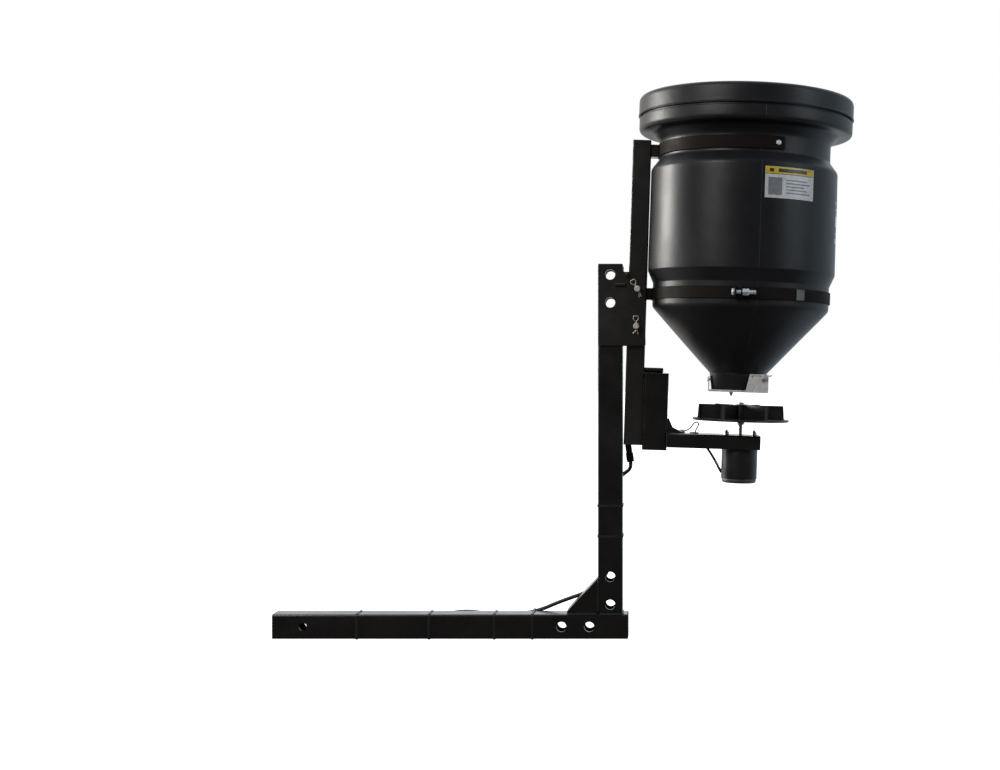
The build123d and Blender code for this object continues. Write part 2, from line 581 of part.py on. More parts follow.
def arm_channel():
    """The inverted channel that carries the motor under its web."""
    length = ARM_END_U - ARM_START_U
    middle = (ARM_END_U + ARM_START_U) / 2
    height = ARM_W[1] - ARM_W[0]
    body = Pos(middle, 0, sum(ARM_W) / 2) * Box(length, ARM_WIDTH, height)
    body = fillet(body.edges().filter_by(Axis.X).group_by(Axis.Z)[-1], 5.0)
    hollow = Pos(middle, 0, sum(ARM_W) / 2 - ARM_T) * Box(length + 2, ARM_WIDTH - 2 * ARM_T, height)
    hollow = fillet(hollow.edges().filter_by(Axis.X).group_by(Axis.Z)[-1], 1.8)
    body -= hollow
    body -= cyl_z(SHAFT_R + 4.0, *ARM_W, x=DRIVE_U)
    for side in (-1, 1):
        body -= cyl_z(3.3, *ARM_W, x=DRIVE_U + side * MOTOR_BOLT_R)
    body -= cyl_z(6.5, *ARM_W, x=GROMMET_U, y=GROMMET_Y)
    body -= cyl_z(3.3, *ARM_W, x=CLIP_BOLT_U, y=CLIP_BOLT_Y)
    keep("arm_channel", UNIT * body)
    grommet = ring(9.0, 4.2, ARM_W[1] + 0.1, ARM_W[1] + 2.2) + ring(6.4, 4.2, ARM_W[1] - ARM_T - 0.1, ARM_W[1] + 0.2)
    grommet += ring(9.0, 4.2, ARM_W[1] - ARM_T - 2.2, ARM_W[1] - ARM_T - 0.1)
    boss = cyl_x(4.5, -MOTOR_R - 2.8, -MOTOR_R + 1.2, 4.0, -292.0)
    boss -= cyl_z(MOTOR_R, -400, -200)
    keep("lead_grommets", [UNIT * Pos(GROMMET_U, GROMMET_Y, 0) * grommet, DRIVE * boss])


MOTOR_BOLT_R = 28.6
CAN_TOP_W = MOTOR_TOP_W - 6.0
CAN_LOW_W = -306.4


def motor_shell():
    """The fixed half of the motor: front plate, can, end cap, magnets and brushes."""
    plate = ring(MOTOR_R, 11.05, CAN_TOP_W, MOTOR_TOP_W)
    plate += ring(15.0, 11.05, CAN_TOP_W - 2.0, CAN_TOP_W)
    for side in (-1, 1):
        plate -= cyl_z(3.02, CAN_TOP_W - 5, MOTOR_TOP_W + 5, x=side * MOTOR_BOLT_R)
    keep("motor_front_plate", DRIVE * plate)
    can = turned([(MOTOR_R, CAN_LOW_W), (MOTOR_R, CAN_TOP_W), (MOTOR_R - 2.4, CAN_TOP_W), (MOTOR_R - 2.4, CAN_LOW_W)],
                 [0.4, 1.2, 0.4, 0.4])
    keep("motor_can", DRIVE * can)
    cap = turned([(0, MOTOR_LOW_W), (MOTOR_R - 3.0, MOTOR_LOW_W), (MOTOR_R - 1.2, CAN_LOW_W - 3.0), (MOTOR_R - 1.2, CAN_LOW_W),
                  (MOTOR_R - 4.0, CAN_LOW_W), (MOTOR_R - 9.0, MOTOR_LOW_W + 3.0), (9.0, MOTOR_LOW_W + 3.0),
                  (9.0, MOTOR_LOW_W + 9.0), (0, MOTOR_LOW_W + 9.0)], [0, 4, 2, 0.4, 0.4, 3, 0.5, 0.5, 0])
    cap -= cyl_z(7.02, MOTOR_LOW_W + 2.0, MOTOR_LOW_W + 20.0)
    keep("motor_end_cap", DRIVE * cap)
    inner = MOTOR_R - 2.45
    magnets = [DRIVE * sector(inner, inner - 6.5, CAN_LOW_W + 12, CAN_TOP_W - 10, start, 130.0) for start in (-65.0, 115.0)]
    keep("motor_magnets", magnets)
    bearing = ring(11.0, SHAFT_R + RUNNING_GAP, CAN_TOP_W - 1.0, CAN_TOP_W + 5.5)
    bush = ring(7.0, SHAFT_R + RUNNING_GAP, MOTOR_LOW_W + 2.0, MOTOR_LOW_W + 9.0)
    keep("motor_bearings", [DRIVE * bearing, DRIVE * bush])
    heads = [DRIVE * Pos(x, 0, MOTOR_LOW_W) * Rot(180, 0, 0) * hexagon(5.5, 1.6) for x in (-19.0, 19.0)]
    keep("motor_tie_screws", heads)


COMM_R = 11.0
COMM_W = (CAN_LOW_W + 1.0, CAN_LOW_W + 15.0)


def motor_brushes():
    """Two carbon brushes in brass guides on an insulating ring."""
    level = sum(COMM_W) / 2
    card = ring(MOTOR_R - 2.6, COMM_R + 5.0, COMM_W[0] - 0.9, COMM_W[0] + 1.2)
    keep("brush_card", DRIVE * card)
    brushes, guides = [], []
    for turn in (0, 180):
        spin = DRIVE * Rot(0, 0, turn)
        brushes.append(spin * block((COMM_R + 0.35, COMM_R + 10.0), (-2.5, 2.5), (level - 3, level + 3)))
        guide = block((COMM_R + 5.5, COMM_R + 16.0), (-3.6, 3.6), (COMM_W[0] + 1.25, level + 4.0))
        guide -= block((COMM_R, COMM_R + 20.0), (-2.55, 2.55), (level - 3.05, level + 3.05))
        guides.append(spin * guide)
    keep("motor_brushes", brushes + guides)


def motor_mount_fasteners():
    studs, nuts = [], []
    for side in (-1, 1):
        x = side * MOTOR_BOLT_R
        studs.append(DRIVE * cyl_z(3.0, CAN_TOP_W + 0.1, ARM_W[1] + 10.0, x=x))
        nuts.append(DRIVE * Pos(x, 0, ARM_W[1] + 1.3) * nut(10.0, 5.0, 6.0))
        nuts.append(DRIVE * Pos(x, 0, ARM_W[1] + 0.05) * (cyl_z(6.2, 0, 1.2) - cyl_z(3.1, -1, 3)))
    keep("motor_studs", studs)
    keep("motor_nuts", nuts)


def rotor():
    """Everything that turns with the shaft."""
    shaft_low = MOTOR_LOW_W + 3.0
    shaft_top = FIN_TOP_W + 3.0
    keep("drive_shaft", DRIVE * cyl_z(SHAFT_R, shaft_low, shaft_top))
    stack = cyl_z(26.6, CAN_LOW_W + 26, CAN_TOP_W - 18) - cyl_z(SHAFT_R, -400, 0)
    for index in range(12):
        stack -= Rot(0, 0, 30.0 * index) * block((17.0, 30.0), (-2.2, 2.2), (-400, 0))
    keep("armature_core", DRIVE * stack)
    low_coil = turned([(9, CAN_LOW_W + 17), (21, CAN_LOW_W + 17), (24, CAN_LOW_W + 25.8), (9, CAN_LOW_W + 25.8)], 3)
    top_coil = turned([(9, CAN_TOP_W - 17.8), (24, CAN_TOP_W - 17.8), (21, CAN_TOP_W - 9), (9, CAN_TOP_W - 9)], 3)
    keep("armature_windings", [DRIVE * low_coil, DRIVE * top_coil])
    keep("commutator", DRIVE * ring(COMM_R, SHAFT_R, *COMM_W))


def spinner_disc():
    """The moulded spinner: a thin disc, six radial fins and a central boss."""
    disc = turned([(0, DISC_W[0]), (DISC_R, DISC_W[0]), (DISC_R, DISC_W[1]), (0, DISC_W[1])], [0, 1.2, 1.2, 0])
    boss = turned([(0, DISC_W[1] - 1), (16, DISC_W[1] - 1), (13, FIN_TOP_W), (0, FIN_TOP_W)], [0, 0, 1.5, 0])
    body = disc + boss
    for index in range(FIN_COUNT):
        fin = plate_y([(8.0, DISC_W[1] - 1), (89.7, DISC_W[1] - 1), (87.6, FIN_TOP_W), (8.0, FIN_TOP_W)], -1.6, 1.6)
        lip = block((84.8, 87.7), (-1.6, 7.0), (DISC_W[1] - 1, FIN_TOP_W))
        body += Rot(0, 0, FIN_START + 360.0 * index / FIN_COUNT) * (fin + lip)
    body -= cyl_z(SHAFT_R, -400, 0)
    keep("spinner_disc", DRIVE * body)


FIN_START = FRONT + 31.0


def spinner_hub():
    hub = ring(7.0, SHAFT_R, DISC_W[0] - 8.0, DISC_W[0])
    hub -= cyl_x(2.0, 0, 20, 0, DISC_W[0] - 4.0)
    screw = cyl_x(1.95, SHAFT_R, 8.0, 0, DISC_W[0] - 4.0)
    keep("spinner_hub", [DRIVE * hub, DRIVE * screw])
    washer = ring(16.5, SHAFT_R, FIN_TOP_W, FIN_TOP_W + 1.4)
    dome = turned([(0, 0), (6.5, 0), (6.5, 1.8), (3.0, 4.0), (0, 4.0)], [0, 0.3, 1.2, 1.2, 0]) - cyl_z(SHAFT_R, -1, 1.6)
    keep("spinner_nut", [DRIVE * washer, DRIVE * Pos(0, 0, FIN_TOP_W + 1.4) * dome])


# --------------------------------------------------------------------------- labels
def decals():
    """Two thin stick-on labels, blank in the solid."""
    gauge = 0.35
    base = BODY_R - 0.9
    front = sector(base + gauge + 0.9, base + 0.9, 253.0, 314.0, FRONT + 9.2, 33.0)
    keep("front_label", HOPPER * front)
    rear = sector(base + gauge + 0.9, base + 0.9, 176.0, 272.0, FRONT + 73.0, 34.0)
    keep("rear_label", HOPPER * rear)


# ----------------------------------------------------------------------- wiring
LEAD_D = 2.4
LEAD_SPACING = 2.7
HARNESS_D = 8.0


def unit_point(u, y, w):
    """World coordinates of a point given in the leaning unit frame."""
    lean = radians(MAST_LEAN)
    return (PIVOT_X + u * cos(lean) + w * sin(lean), y, PIVOT_Z - u * sin(lean) + w * cos(lean))


# The pair of motor leads from the motor to its connector: u, y, w of the pair's
# centre, and the roll of the pair (0 side by side in y, 90 one above the other).
LEAD_PAIR = [
    (182.2, 4.0, -292.2, 90), (176.6, 4.4, -281.0, 90), (167.0, 5.0, -265.0, 85), (156.8, 5.5, -249.5, 65),
    (145.2, 6.0, -237.0, 35), (134.0, 6.0, -228.0, 12), (127.6, 6.0, -219.0, 0), (129.0, 6.0, -210.5, 0),
    (132.4, 6.0, -203.6, 0), (135.2, 6.0, -196.8, 0), (131.6, 6.0, -192.4, 0), (125.6, 5.8, -194.4, 0),
    (121.8, 5.4, -200.4, 0), (117.2, 4.8, -206.6, 0), (110.0, 4.2, -211.4, 0), (101.0, 4.0, -213.0, 0),
    (92.5, 9.0, -213.2, 45), (84.5, 17.5, -213.0, 90), (77.0, 26.0, -213.0, 90), (66.0, 30.5, -213.5, 90),
    (51.0, 30.8, -214.6, 90), (34.0, 30.4, -217.0, 90), (17.0, 29.2, -221.0, 75), (3.0, 28.0, -227.0, 40),
    (-6.0, 27.2, -234.0, 10), (-10.6, 27.0, -243.0, 0),
]
CONNECTOR_TOP = unit_point(-10.6, 27.0, -243.0)
CONNECTOR_LOW = unit_point(-4.0, 27.0, -281.0)
# The harness from its connector, down the post and along the tube to its plug.
HARNESS_ROUTE = [
    CONNECTOR_LOW, (671.4, 28.0, 327.0), (667.6, 31.5, 318.0), (658.5, 35.6, 311.5), (648.0, 37.6, 302.0),
    (641.0, 37.5, 287.0), (636.5, 37.0, 266.0), (634.2, 36.8, 238.0),
    (631.0, 35.5, 205.0), (629.0, 35.0, 165.0), (628.0, 35.5, 130.0), (622.0, 37.0, 103.0), (603.0, 38.5, 78.0),
    (575.0, 38.5, 60.0), (545.0, 37.5, 50.0), (515.0, 36.0, 39.0), (487.0, 34.5, 27.0), (455.0, 33.5, 19.0),
    (415.0, 33.0, 16.0), (370.0, 33.5, 18.5), (325.0, 34.0, 23.5), (282.0, 33.5, 17.0), (235.0, 33.0, 12.0),
    (185.0, 33.5, 14.0), (135.0, 33.0, 11.0), (90.0, 33.5, 13.0), (50.0, 33.0, 12.0),
]
# Ties: height, then harness x and y there; and along the tube, x, then harness y and z.
TIE_WIDTH = 4.8
TIE_POST = ((185.0, 630.0, 35.2), (248.0, 635.0, 36.9))
TIE_TUBE = ((110.0, 33.2, 12.0), (258.0, 33.2, 14.5), (392.0, 33.2, 17.2), (470.0, 34.0, 22.8))


def lead_route(side):
    """The route of one lead of the pair, beside the pair's centre line."""
    route = []
    last = len(LEAD_PAIR) - 1
    for index, (u, y, w, roll) in enumerate(LEAD_PAIR):
        before = Vector(LEAD_PAIR[max(index - 1, 0)][:3])
        after = Vector(LEAD_PAIR[min(index + 1, last)][:3])
        along = (after - before).normalized()
        across = Vector(0, cos(radians(roll)), sin(radians(roll)))
        across = (across - along * across.dot(along)).normalized()
        point = Vector(u, y, w) + across * (side * LEAD_SPACING / 2)
        route.append(unit_point(point.X, point.Y, point.Z))
    return route


def wiring():
    keep("red_lead", tube_along(lead_route(-1), LEAD_D, "red lead"))
    keep("black_lead", tube_along(lead_route(1), LEAD_D, "black lead"))
    keep("harness_cable", tube_along(HARNESS_ROUTE, HARNESS_D, "harness"))
    start = Vector(*CONNECTOR_TOP)
    end = Vector(*CONNECTOR_LOW)
    along = (end - start).normalized()
    half = (end - start).length / 2
    upper = Plane(origin=start, z_dir=along, x_dir=(0, 1, 0))
    lower = Plane(origin=start + along * half, z_dir=along, x_dir=(0, 1, 0))
    first = upper * fillet_box(9.5, 13.0, half)
    second = lower * fillet_box(11.5, 15.0, half)
    keep("lead_connector", first)
    keep("harness_connector", second)
    vehicle_end = Vector(*HARNESS_ROUTE[-1])
    before = Vector(*HARNESS_ROUTE[-2])
    out = (vehicle_end - before).normalized()
    plug = Plane(origin=vehicle_end, z_dir=out, x_dir=(0, 1, 0)) * fillet_box(11.5, 17.0, 38.0)
    keep("vehicle_plug", plug)


def fillet_box(width, depth, length):
    """A connector body along Z from Z 0, with softened long edges."""
    body = extrude(RectangleRounded(width, depth, 2.0), length)
    return chamfer(body.faces().sort_by(Axis.Z)[-1].edges(), 1.2)


def tie_loop(cord_side, cord_up):
    """A nylon tie pulled round the square tube and the harness beside it, along Z."""
    loops = []
    for grow, slack in ((1.5, 2.0), (0.2, 0.7)):
        square = RectangleRounded(TUBE + 2 * grow, TUBE + 2 * grow, TUBE_CORNER + grow)
        bundle = Pos(cord_side, cord_up) * Circle(HARNESS_D / 2 + slack)
        loops.append(make_face(make_hull(square.edges() + bundle.edges())))
    return extrude(loops[0], TIE_WIDTH / 2, both=True) - extrude(loops[1], TIE_WIDTH, both=True)


def harness_ties():
    """Nylon ties that hold the harness to the post and to the tube."""
    ties = []
    for z, x, y in TIE_POST:
        ties.append(Pos(POST_X, 0, z) * tie_loop(x - POST_X, y))
    for x, y, z in TIE_TUBE:
        ties.append(Pos(x, 0, 0) * Rot(0, 90, 0) * tie_loop(-z, y))
    keep("harness_ties", ties)


def lead_clip():
    """The P-clip on the arm and its screw."""
    centre_y, level = 4.0, ARM_W[1] + 3.5
    hold = 2.6
    loop = cyl_x(hold + 1.0, CLIP_BOLT_U - 4.5, CLIP_BOLT_U + 4.5, centre_y, level)
    foot = block((CLIP_BOLT_U - 4.5, CLIP_BOLT_U + 4.5), (CLIP_BOLT_Y - 5.5, centre_y - 2.0), (ARM_W[1] + 0.05, ARM_W[1] + 1.3))
    clip = loop + foot - cyl_z(3.2, -250, -150, x=CLIP_BOLT_U, y=CLIP_BOLT_Y)
    clip -= cyl_x(hold, CLIP_BOLT_U - 10, CLIP_BOLT_U + 10, centre_y, level)
    clip -= block((CLIP_BOLT_U - 20, CLIP_BOLT_U + 20), (-40, 40), (ARM_W[1] - 10, ARM_W[1]))
    keep("lead_clip", UNIT * clip)
    keep("clip_screw", UNIT * Pos(CLIP_BOLT_U, CLIP_BOLT_Y, ARM_W[1] + 1.35) * bolt(10.0, 4.0, 6.0, 14.0))


# ---------------------------------------------------------------------------- build
receiver_tube()
plugs()
post_tube()
corner_gusset()
head_plates()
mast_spacers()
hitch_pins()
cotter_pins()
stop_stud()
mast_tube()
saddle("strap_standoff", NECK_R + 0.2 + STRAP_T, STRAP_W, 30.0)
saddle("band_standoff", SEAT_R + 0.2 + BAND_T, BAND_W, 30.0)
neck_strap()
strap_bolts()
clamp_band()
clamp_fasteners()
hopper()
lid()
outlet_spout()
gate_base()
feed_gate()
gate_fasteners()
wing_nut()
arm_bracket()
arm_channel()
motor_shell()
motor_brushes()
motor_mount_fasteners()
rotor()
spinner_disc()
spinner_hub()
decals()
wiring()
harness_ties()
lead_clip()

for node, solid in NODES.items():
    export_step(solid, f"parts/{node}.step")
print(len(NODES), "nodes")
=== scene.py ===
import json
import math
import random

import bmesh
import bpy
from mathutils import Matrix, Vector


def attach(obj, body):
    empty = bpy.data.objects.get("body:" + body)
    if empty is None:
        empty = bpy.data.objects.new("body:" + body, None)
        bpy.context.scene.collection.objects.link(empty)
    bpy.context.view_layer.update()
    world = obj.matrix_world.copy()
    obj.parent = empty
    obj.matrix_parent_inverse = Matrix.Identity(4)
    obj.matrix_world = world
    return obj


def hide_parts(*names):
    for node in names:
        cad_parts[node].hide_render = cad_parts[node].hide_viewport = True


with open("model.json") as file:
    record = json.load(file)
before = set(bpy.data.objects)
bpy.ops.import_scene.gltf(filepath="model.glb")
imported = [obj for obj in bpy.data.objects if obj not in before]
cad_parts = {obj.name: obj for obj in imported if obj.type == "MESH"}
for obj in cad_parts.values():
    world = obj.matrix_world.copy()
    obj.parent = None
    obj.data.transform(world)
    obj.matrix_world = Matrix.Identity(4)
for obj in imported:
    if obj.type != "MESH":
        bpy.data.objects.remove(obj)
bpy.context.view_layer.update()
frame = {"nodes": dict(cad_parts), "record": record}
NODES = frame["nodes"]

# ------------------------------------------------------------------ frame constants
LEAN = math.radians(1.8)
PIVOT = Vector((0.6835, 0.0, 0.616))
UNIT = Matrix.Translation(PIVOT) @ Matrix.Rotation(LEAN, 4, "Y")
AXIS_U = 0.2125
DRIVE_U = 0.221
HOPPER = UNIT @ Matrix.Translation((AXIS_U, 0, 0))
DRIVE = UNIT @ Matrix.Translation((DRIVE_U, 0, 0))
FRONT = -90.0
TUBE = 0.0508
POST_X = 0.630
MAST = 0.0381
ARM_START = MAST * 500 + 50.8     # unit-frame millimetres, at the bracket's outer face
SEED = 7


def hopper_point(azimuth, radius, w):
    """World point at an azimuth and radius about the hopper's axis."""
    turn = math.radians(azimuth)
    return HOPPER @ Vector((radius * math.cos(turn), radius * math.sin(turn), w))


# ------------------------------------------------------------------- node materials
class Shader:
    """A small helper that wires one Principled material in object coordinates."""

    def __init__(self, name):
        self.material = bpy.data.materials.new(name)
        self.material.use_nodes = True
        self.tree = self.material.node_tree
        self.bsdf = self.tree.nodes["Principled BSDF"]
        self.place = self.tree.nodes.new("ShaderNodeTexCoord").outputs["Object"]

    def new(self, kind, **values):
        node = self.tree.nodes.new("ShaderNode" + kind)
        for key, value in values.items():
            setattr(node, key, value)
        return node

    def link(self, source, target):
        self.tree.links.new(source, target)

    def set(self, **values):
        for key, value in values.items():
            self.bsdf.inputs[key.replace("_", " ")].default_value = value

    def stretched(self, scale):
        node = self.new("Mapping")
        node.inputs["Scale"].default_value = scale
        self.link(self.place, node.inputs["Vector"])
        return node.outputs["Vector"]

    def noise(self, scale, detail=4.0, rough=0.55, stretch=None):
        node = self.new("TexNoise")
        node.inputs["Scale"].default_value = scale
        node.inputs["Detail"].default_value = detail
        node.inputs["Roughness"].default_value = rough
        self.link(self.stretched(stretch) if stretch else self.place, node.inputs["Vector"])
        return node.outputs["Fac"]

    def cells(self, scale, feature="F1", output="Distance", stretch=None):
        node = self.new("TexVoronoi", feature=feature)
        node.inputs["Scale"].default_value = scale
        self.link(self.stretched(stretch) if stretch else self.place, node.inputs["Vector"])
        return node.outputs[output]

    def ramp(self, source, low, high, out_low=0.0, out_high=1.0):
        node = self.new("MapRange")
        node.inputs["From Min"].default_value = low
        node.inputs["From Max"].default_value = high
        node.inputs["To Min"].default_value = out_low
        node.inputs["To Max"].default_value = out_high
        self.link(source, node.inputs["Value"])
        return node.outputs["Result"]

    def math(self, operation, first, second):
        node = self.new("Math", operation=operation)
        for socket, value in zip(node.inputs, (first, second)):
            if isinstance(value, (int, float)):
                socket.default_value = value
            else:
                self.link(value, socket)
        return node.outputs[0]

    def mix(self, factor, first, second):
        node = self.new("Mix", data_type="RGBA")
        self.link(factor, node.inputs["Factor"])
        for socket, value in ((node.inputs["A"], first), (node.inputs["B"], second)):
            if isinstance(value, tuple):
                socket.default_value = (*value, 1.0)
            else:
                self.link(value, socket)
        return node.outputs["Result"]

    def edges(self, radius, low=0.02, high=0.25):
        """1 on edges, 0 on flats."""
        bevel = self.new("Bevel", samples=4)
        bevel.inputs["Radius"].default_value = radius
        shape = self.new("NewGeometry")
        dot = self.new("VectorMath", operation="DOT_PRODUCT")
        self.link(bevel.outputs["Normal"], dot.inputs[0])
        self.link(shape.outputs["Normal"], dot.inputs[1])
        return self.ramp(self.math("SUBTRACT", 1.0, dot.outputs["Value"]), low, high)

    def bump(self, height, distance, strength=1.0, after=None):
        node = self.new("Bump")
        node.inputs["Distance"].default_value = distance
        node.inputs["Strength"].default_value = strength
        self.link(height, node.inputs["Height"])
        if after:
            self.link(after, node.inputs["Normal"])
        return node.outputs["Normal"]

    def finish(self, color=None, roughness=None, normal=None):
        if color:
            self.link(color, self.bsdf.inputs["Base Color"])
        if roughness:
            self.link(roughness, self.bsdf.inputs["Roughness"])
        if normal:
            self.link(normal, self.bsdf.inputs["Normal"])
        return self.material


def frame_paint(name, dark, dusty, shine=0.55, coat=0.25, dull=0.0):
    """Black powder coat: orange peel, faint dust, worn edges, small chips."""
    s = Shader(name)
    s.set(Specular_IOR_Level=shine, Coat_Weight=coat, Coat_Roughness=0.12)
    dust = s.ramp(s.noise(9.0, 6.0), 0.45, 0.8, 0.0, 0.55)
    worn = s.math("MULTIPLY", s.edges(0.0012, 0.03, 0.3), s.ramp(s.noise(160.0, 5.0), 0.56, 0.64))
    chips = s.ramp(s.noise(420.0, 2.0), 0.76, 0.79)
    streaks = s.ramp(s.noise(60.0, 3.0, stretch=(0.25, 1.0, 0.1)), 0.5, 0.75, 0.0, 0.3)
    base = s.mix(dust, dark, dusty)
    base = s.mix(streaks, base, (0.011, 0.0105, 0.0098))
    base = s.mix(s.math("MULTIPLY", s.math("MAXIMUM", worn, chips), 0.35), base, (0.09, 0.088, 0.085))
    gloss = s.ramp(s.noise(30.0, 5.0), 0.3, 0.7, 0.2 + dull, 0.34 + dull)
    rough = s.math("ADD", gloss, s.math("MULTIPLY", dust, 0.16))
    peel = s.bump(s.noise(340.0, 2.0), 0.00012, 0.6)
    return s.finish(base, rough, s.bump(chips, 0.00006, 0.4, peel))


def weld_paint():
    """The same coat over a weld bead, a little rougher."""
    s = Shader("weld_paint")
    s.set(Specular_IOR_Level=0.55)
    base = s.mix(s.noise(300.0), (0.008, 0.008, 0.009), (0.022, 0.022, 0.022))
    return s.finish(base, s.ramp(s.noise(200.0), 0.3, 0.7, 0.28, 0.5), s.bump(s.noise(900.0), 0.0002, 0.5))


def hopper_poly():
    """Charcoal moulded polyethylene: fine grain, slow ripples, scuffs and salt haze."""
    s = Shader("hopper_poly")
    s.set(Specular_IOR_Level=0.32)
    haze = s.ramp(s.noise(5.5, 7.0, 0.62), 0.42, 0.78)
    scuff = s.ramp(s.noise(38.0, 6.0, 0.7, stretch=(1.0, 1.0, 5.0)), 0.6, 0.75, 0.0, 0.5)
    pits = s.cells(900.0)
    base = s.mix(haze, (0.0112, 0.0118, 0.0145), (0.0175, 0.0183, 0.0215))
    base = s.mix(scuff, base, (0.030, 0.030, 0.032))
    base = s.mix(s.math("MULTIPLY", s.edges(0.0015, 0.03, 0.35), 0.3), base, (0.05, 0.05, 0.052))
    rough = s.math("ADD", s.ramp(haze, 0.0, 1.0, 0.33, 0.45), s.ramp(pits, 0.0, 0.6, -0.03, 0.04))
    slow = s.bump(s.noise(13.0, 2.0), 0.0022, 0.35)
    grain = s.bump(s.noise(520.0, 3.0), 0.00022, 0.45, slow)
    return s.finish(base, rough, s.bump(pits, 0.00012, 0.35, grain))


def moulded(name, dark, light, roughness, grain=700.0):
    """A moulded nylon or polypropylene part with fine grain and paler rubbed edges."""
    s = Shader(name)
    s.set(Specular_IOR_Level=0.45)
    mottle = s.noise(45.0, 6.0)
    rubbed = tuple(min(1.0, channel * 2.6 + 0.01) for channel in light)
    base = s.mix(mottle, dark, light)
    base = s.mix(s.math("MULTIPLY", s.edges(0.0006, 0.05, 0.4), 0.35), base, rubbed)
    rough = s.ramp(mottle, 0.3, 0.7, roughness - 0.06, roughness + 0.08)
    return s.finish(base, rough, s.bump(s.noise(grain, 3.0), 0.00012, 0.5))


def plated(name, dull, bright, tint, roughness):
    """Zinc plate or plain steel: clouded, lightly scratched, tarnished in patches."""
    s = Shader(name)
    s.set(Metallic=1.0)
    cloud = s.noise(85.0, 6.0)
    scratch = s.noise(600.0, 3.0, 0.6, stretch=(1.0, 0.12, 1.0))
    base = s.mix(cloud, dull, bright)
    base = s.mix(s.ramp(s.noise(34.0, 5.0), 0.52, 0.72, 0.0, 0.7), base, tint)
    gloss = s.ramp(cloud, 0.25, 0.75, roughness - 0.07, roughness + 0.1)
    rough = s.math("ADD", gloss, s.ramp(scratch, 0.4, 0.7, 0.0, 0.1))
    return s.finish(base, rough, s.bump(scratch, 0.00005, 0.5))


def zinc_painted_glint(name, dull, bright, tint, metallic):
    """Zinc plate with its glint painted in: the near-white base, its tint and the low metallic weight are
    painted reflection over the plate's own pale tone.
    """
    s = Shader(name)
    s.set(Metallic=metallic)
    cloud = s.noise(240.0, 5.0)
    base = s.mix(cloud, dull, bright)
    base = s.mix(s.ramp(s.noise(420.0, 4.0), 0.54, 0.68, 0.0, 0.75), base, tint)
    return s.finish(base, s.ramp(cloud, 0.3, 0.7, 0.3, 0.46), s.bump(s.noise(1500.0, 2.0), 0.00004, 0.5))


def galvanised():
    """Hot-dip sheet: spangle cells that differ in tone and gloss, brushed lines, white bloom."""
    s = Shader("gate_steel")
    s.set(Metallic=0.08)
    spangle = s.cells(150.0, output="Color", stretch=(1.0, 1.3, 0.8))
    tone = s.new("SeparateColor")
    s.link(spangle, tone.inputs["Color"])
    bloom = s.ramp(s.noise(70.0, 7.0), 0.52, 0.7, 0.0, 0.8)
    lines = s.ramp(s.noise(950.0, 3.0, stretch=(0.06, 1.0, 1.0)), 0.35, 0.65, 0.0, 0.5)
    base = s.mix(tone.outputs["Red"], (0.72, 0.71, 0.69), (0.90, 0.89, 0.87))
    base = s.mix(lines, base, (0.60, 0.59, 0.58))
    base = s.mix(bloom, base, (0.90, 0.89, 0.87))
    rough = s.math("ADD", s.ramp(tone.outputs["Green"], 0.0, 1.0, 0.26, 0.42), s.math("MULTIPLY", bloom, 0.2))
    return s.finish(base, rough, s.bump(s.noise(260.0, 4.0), 0.0001, 0.5))


def insulation(name, dark, light):
    """Glossy wire insulation with handling dust and faint extrusion lines."""
    s = Shader(name)
    s.set(Specular_IOR_Level=0.5)
    dust = s.noise(120.0, 5.0)
    base = s.mix(dust, dark, light)
    return s.finish(base, s.ramp(dust, 0.3, 0.7, 0.26, 0.46), s.bump(s.noise(900.0, 2.0), 0.00008, 0.5))


def printed(name, dark, light, roughness=0.34):
    """A stick-on film or its printing, with a little grime."""
    s = Shader(name)
    s.set(Coat_Weight=0.15, Coat_Roughness=0.2)
    grime = s.ramp(s.noise(130.0, 6.0), 0.42, 0.8)
    return s.finish(s.mix(grime, light, dark), s.ramp(grime, 0.0, 1.0, roughness, roughness + 0.15),
                    s.bump(s.noise(600.0), 0.00004, 0.4))


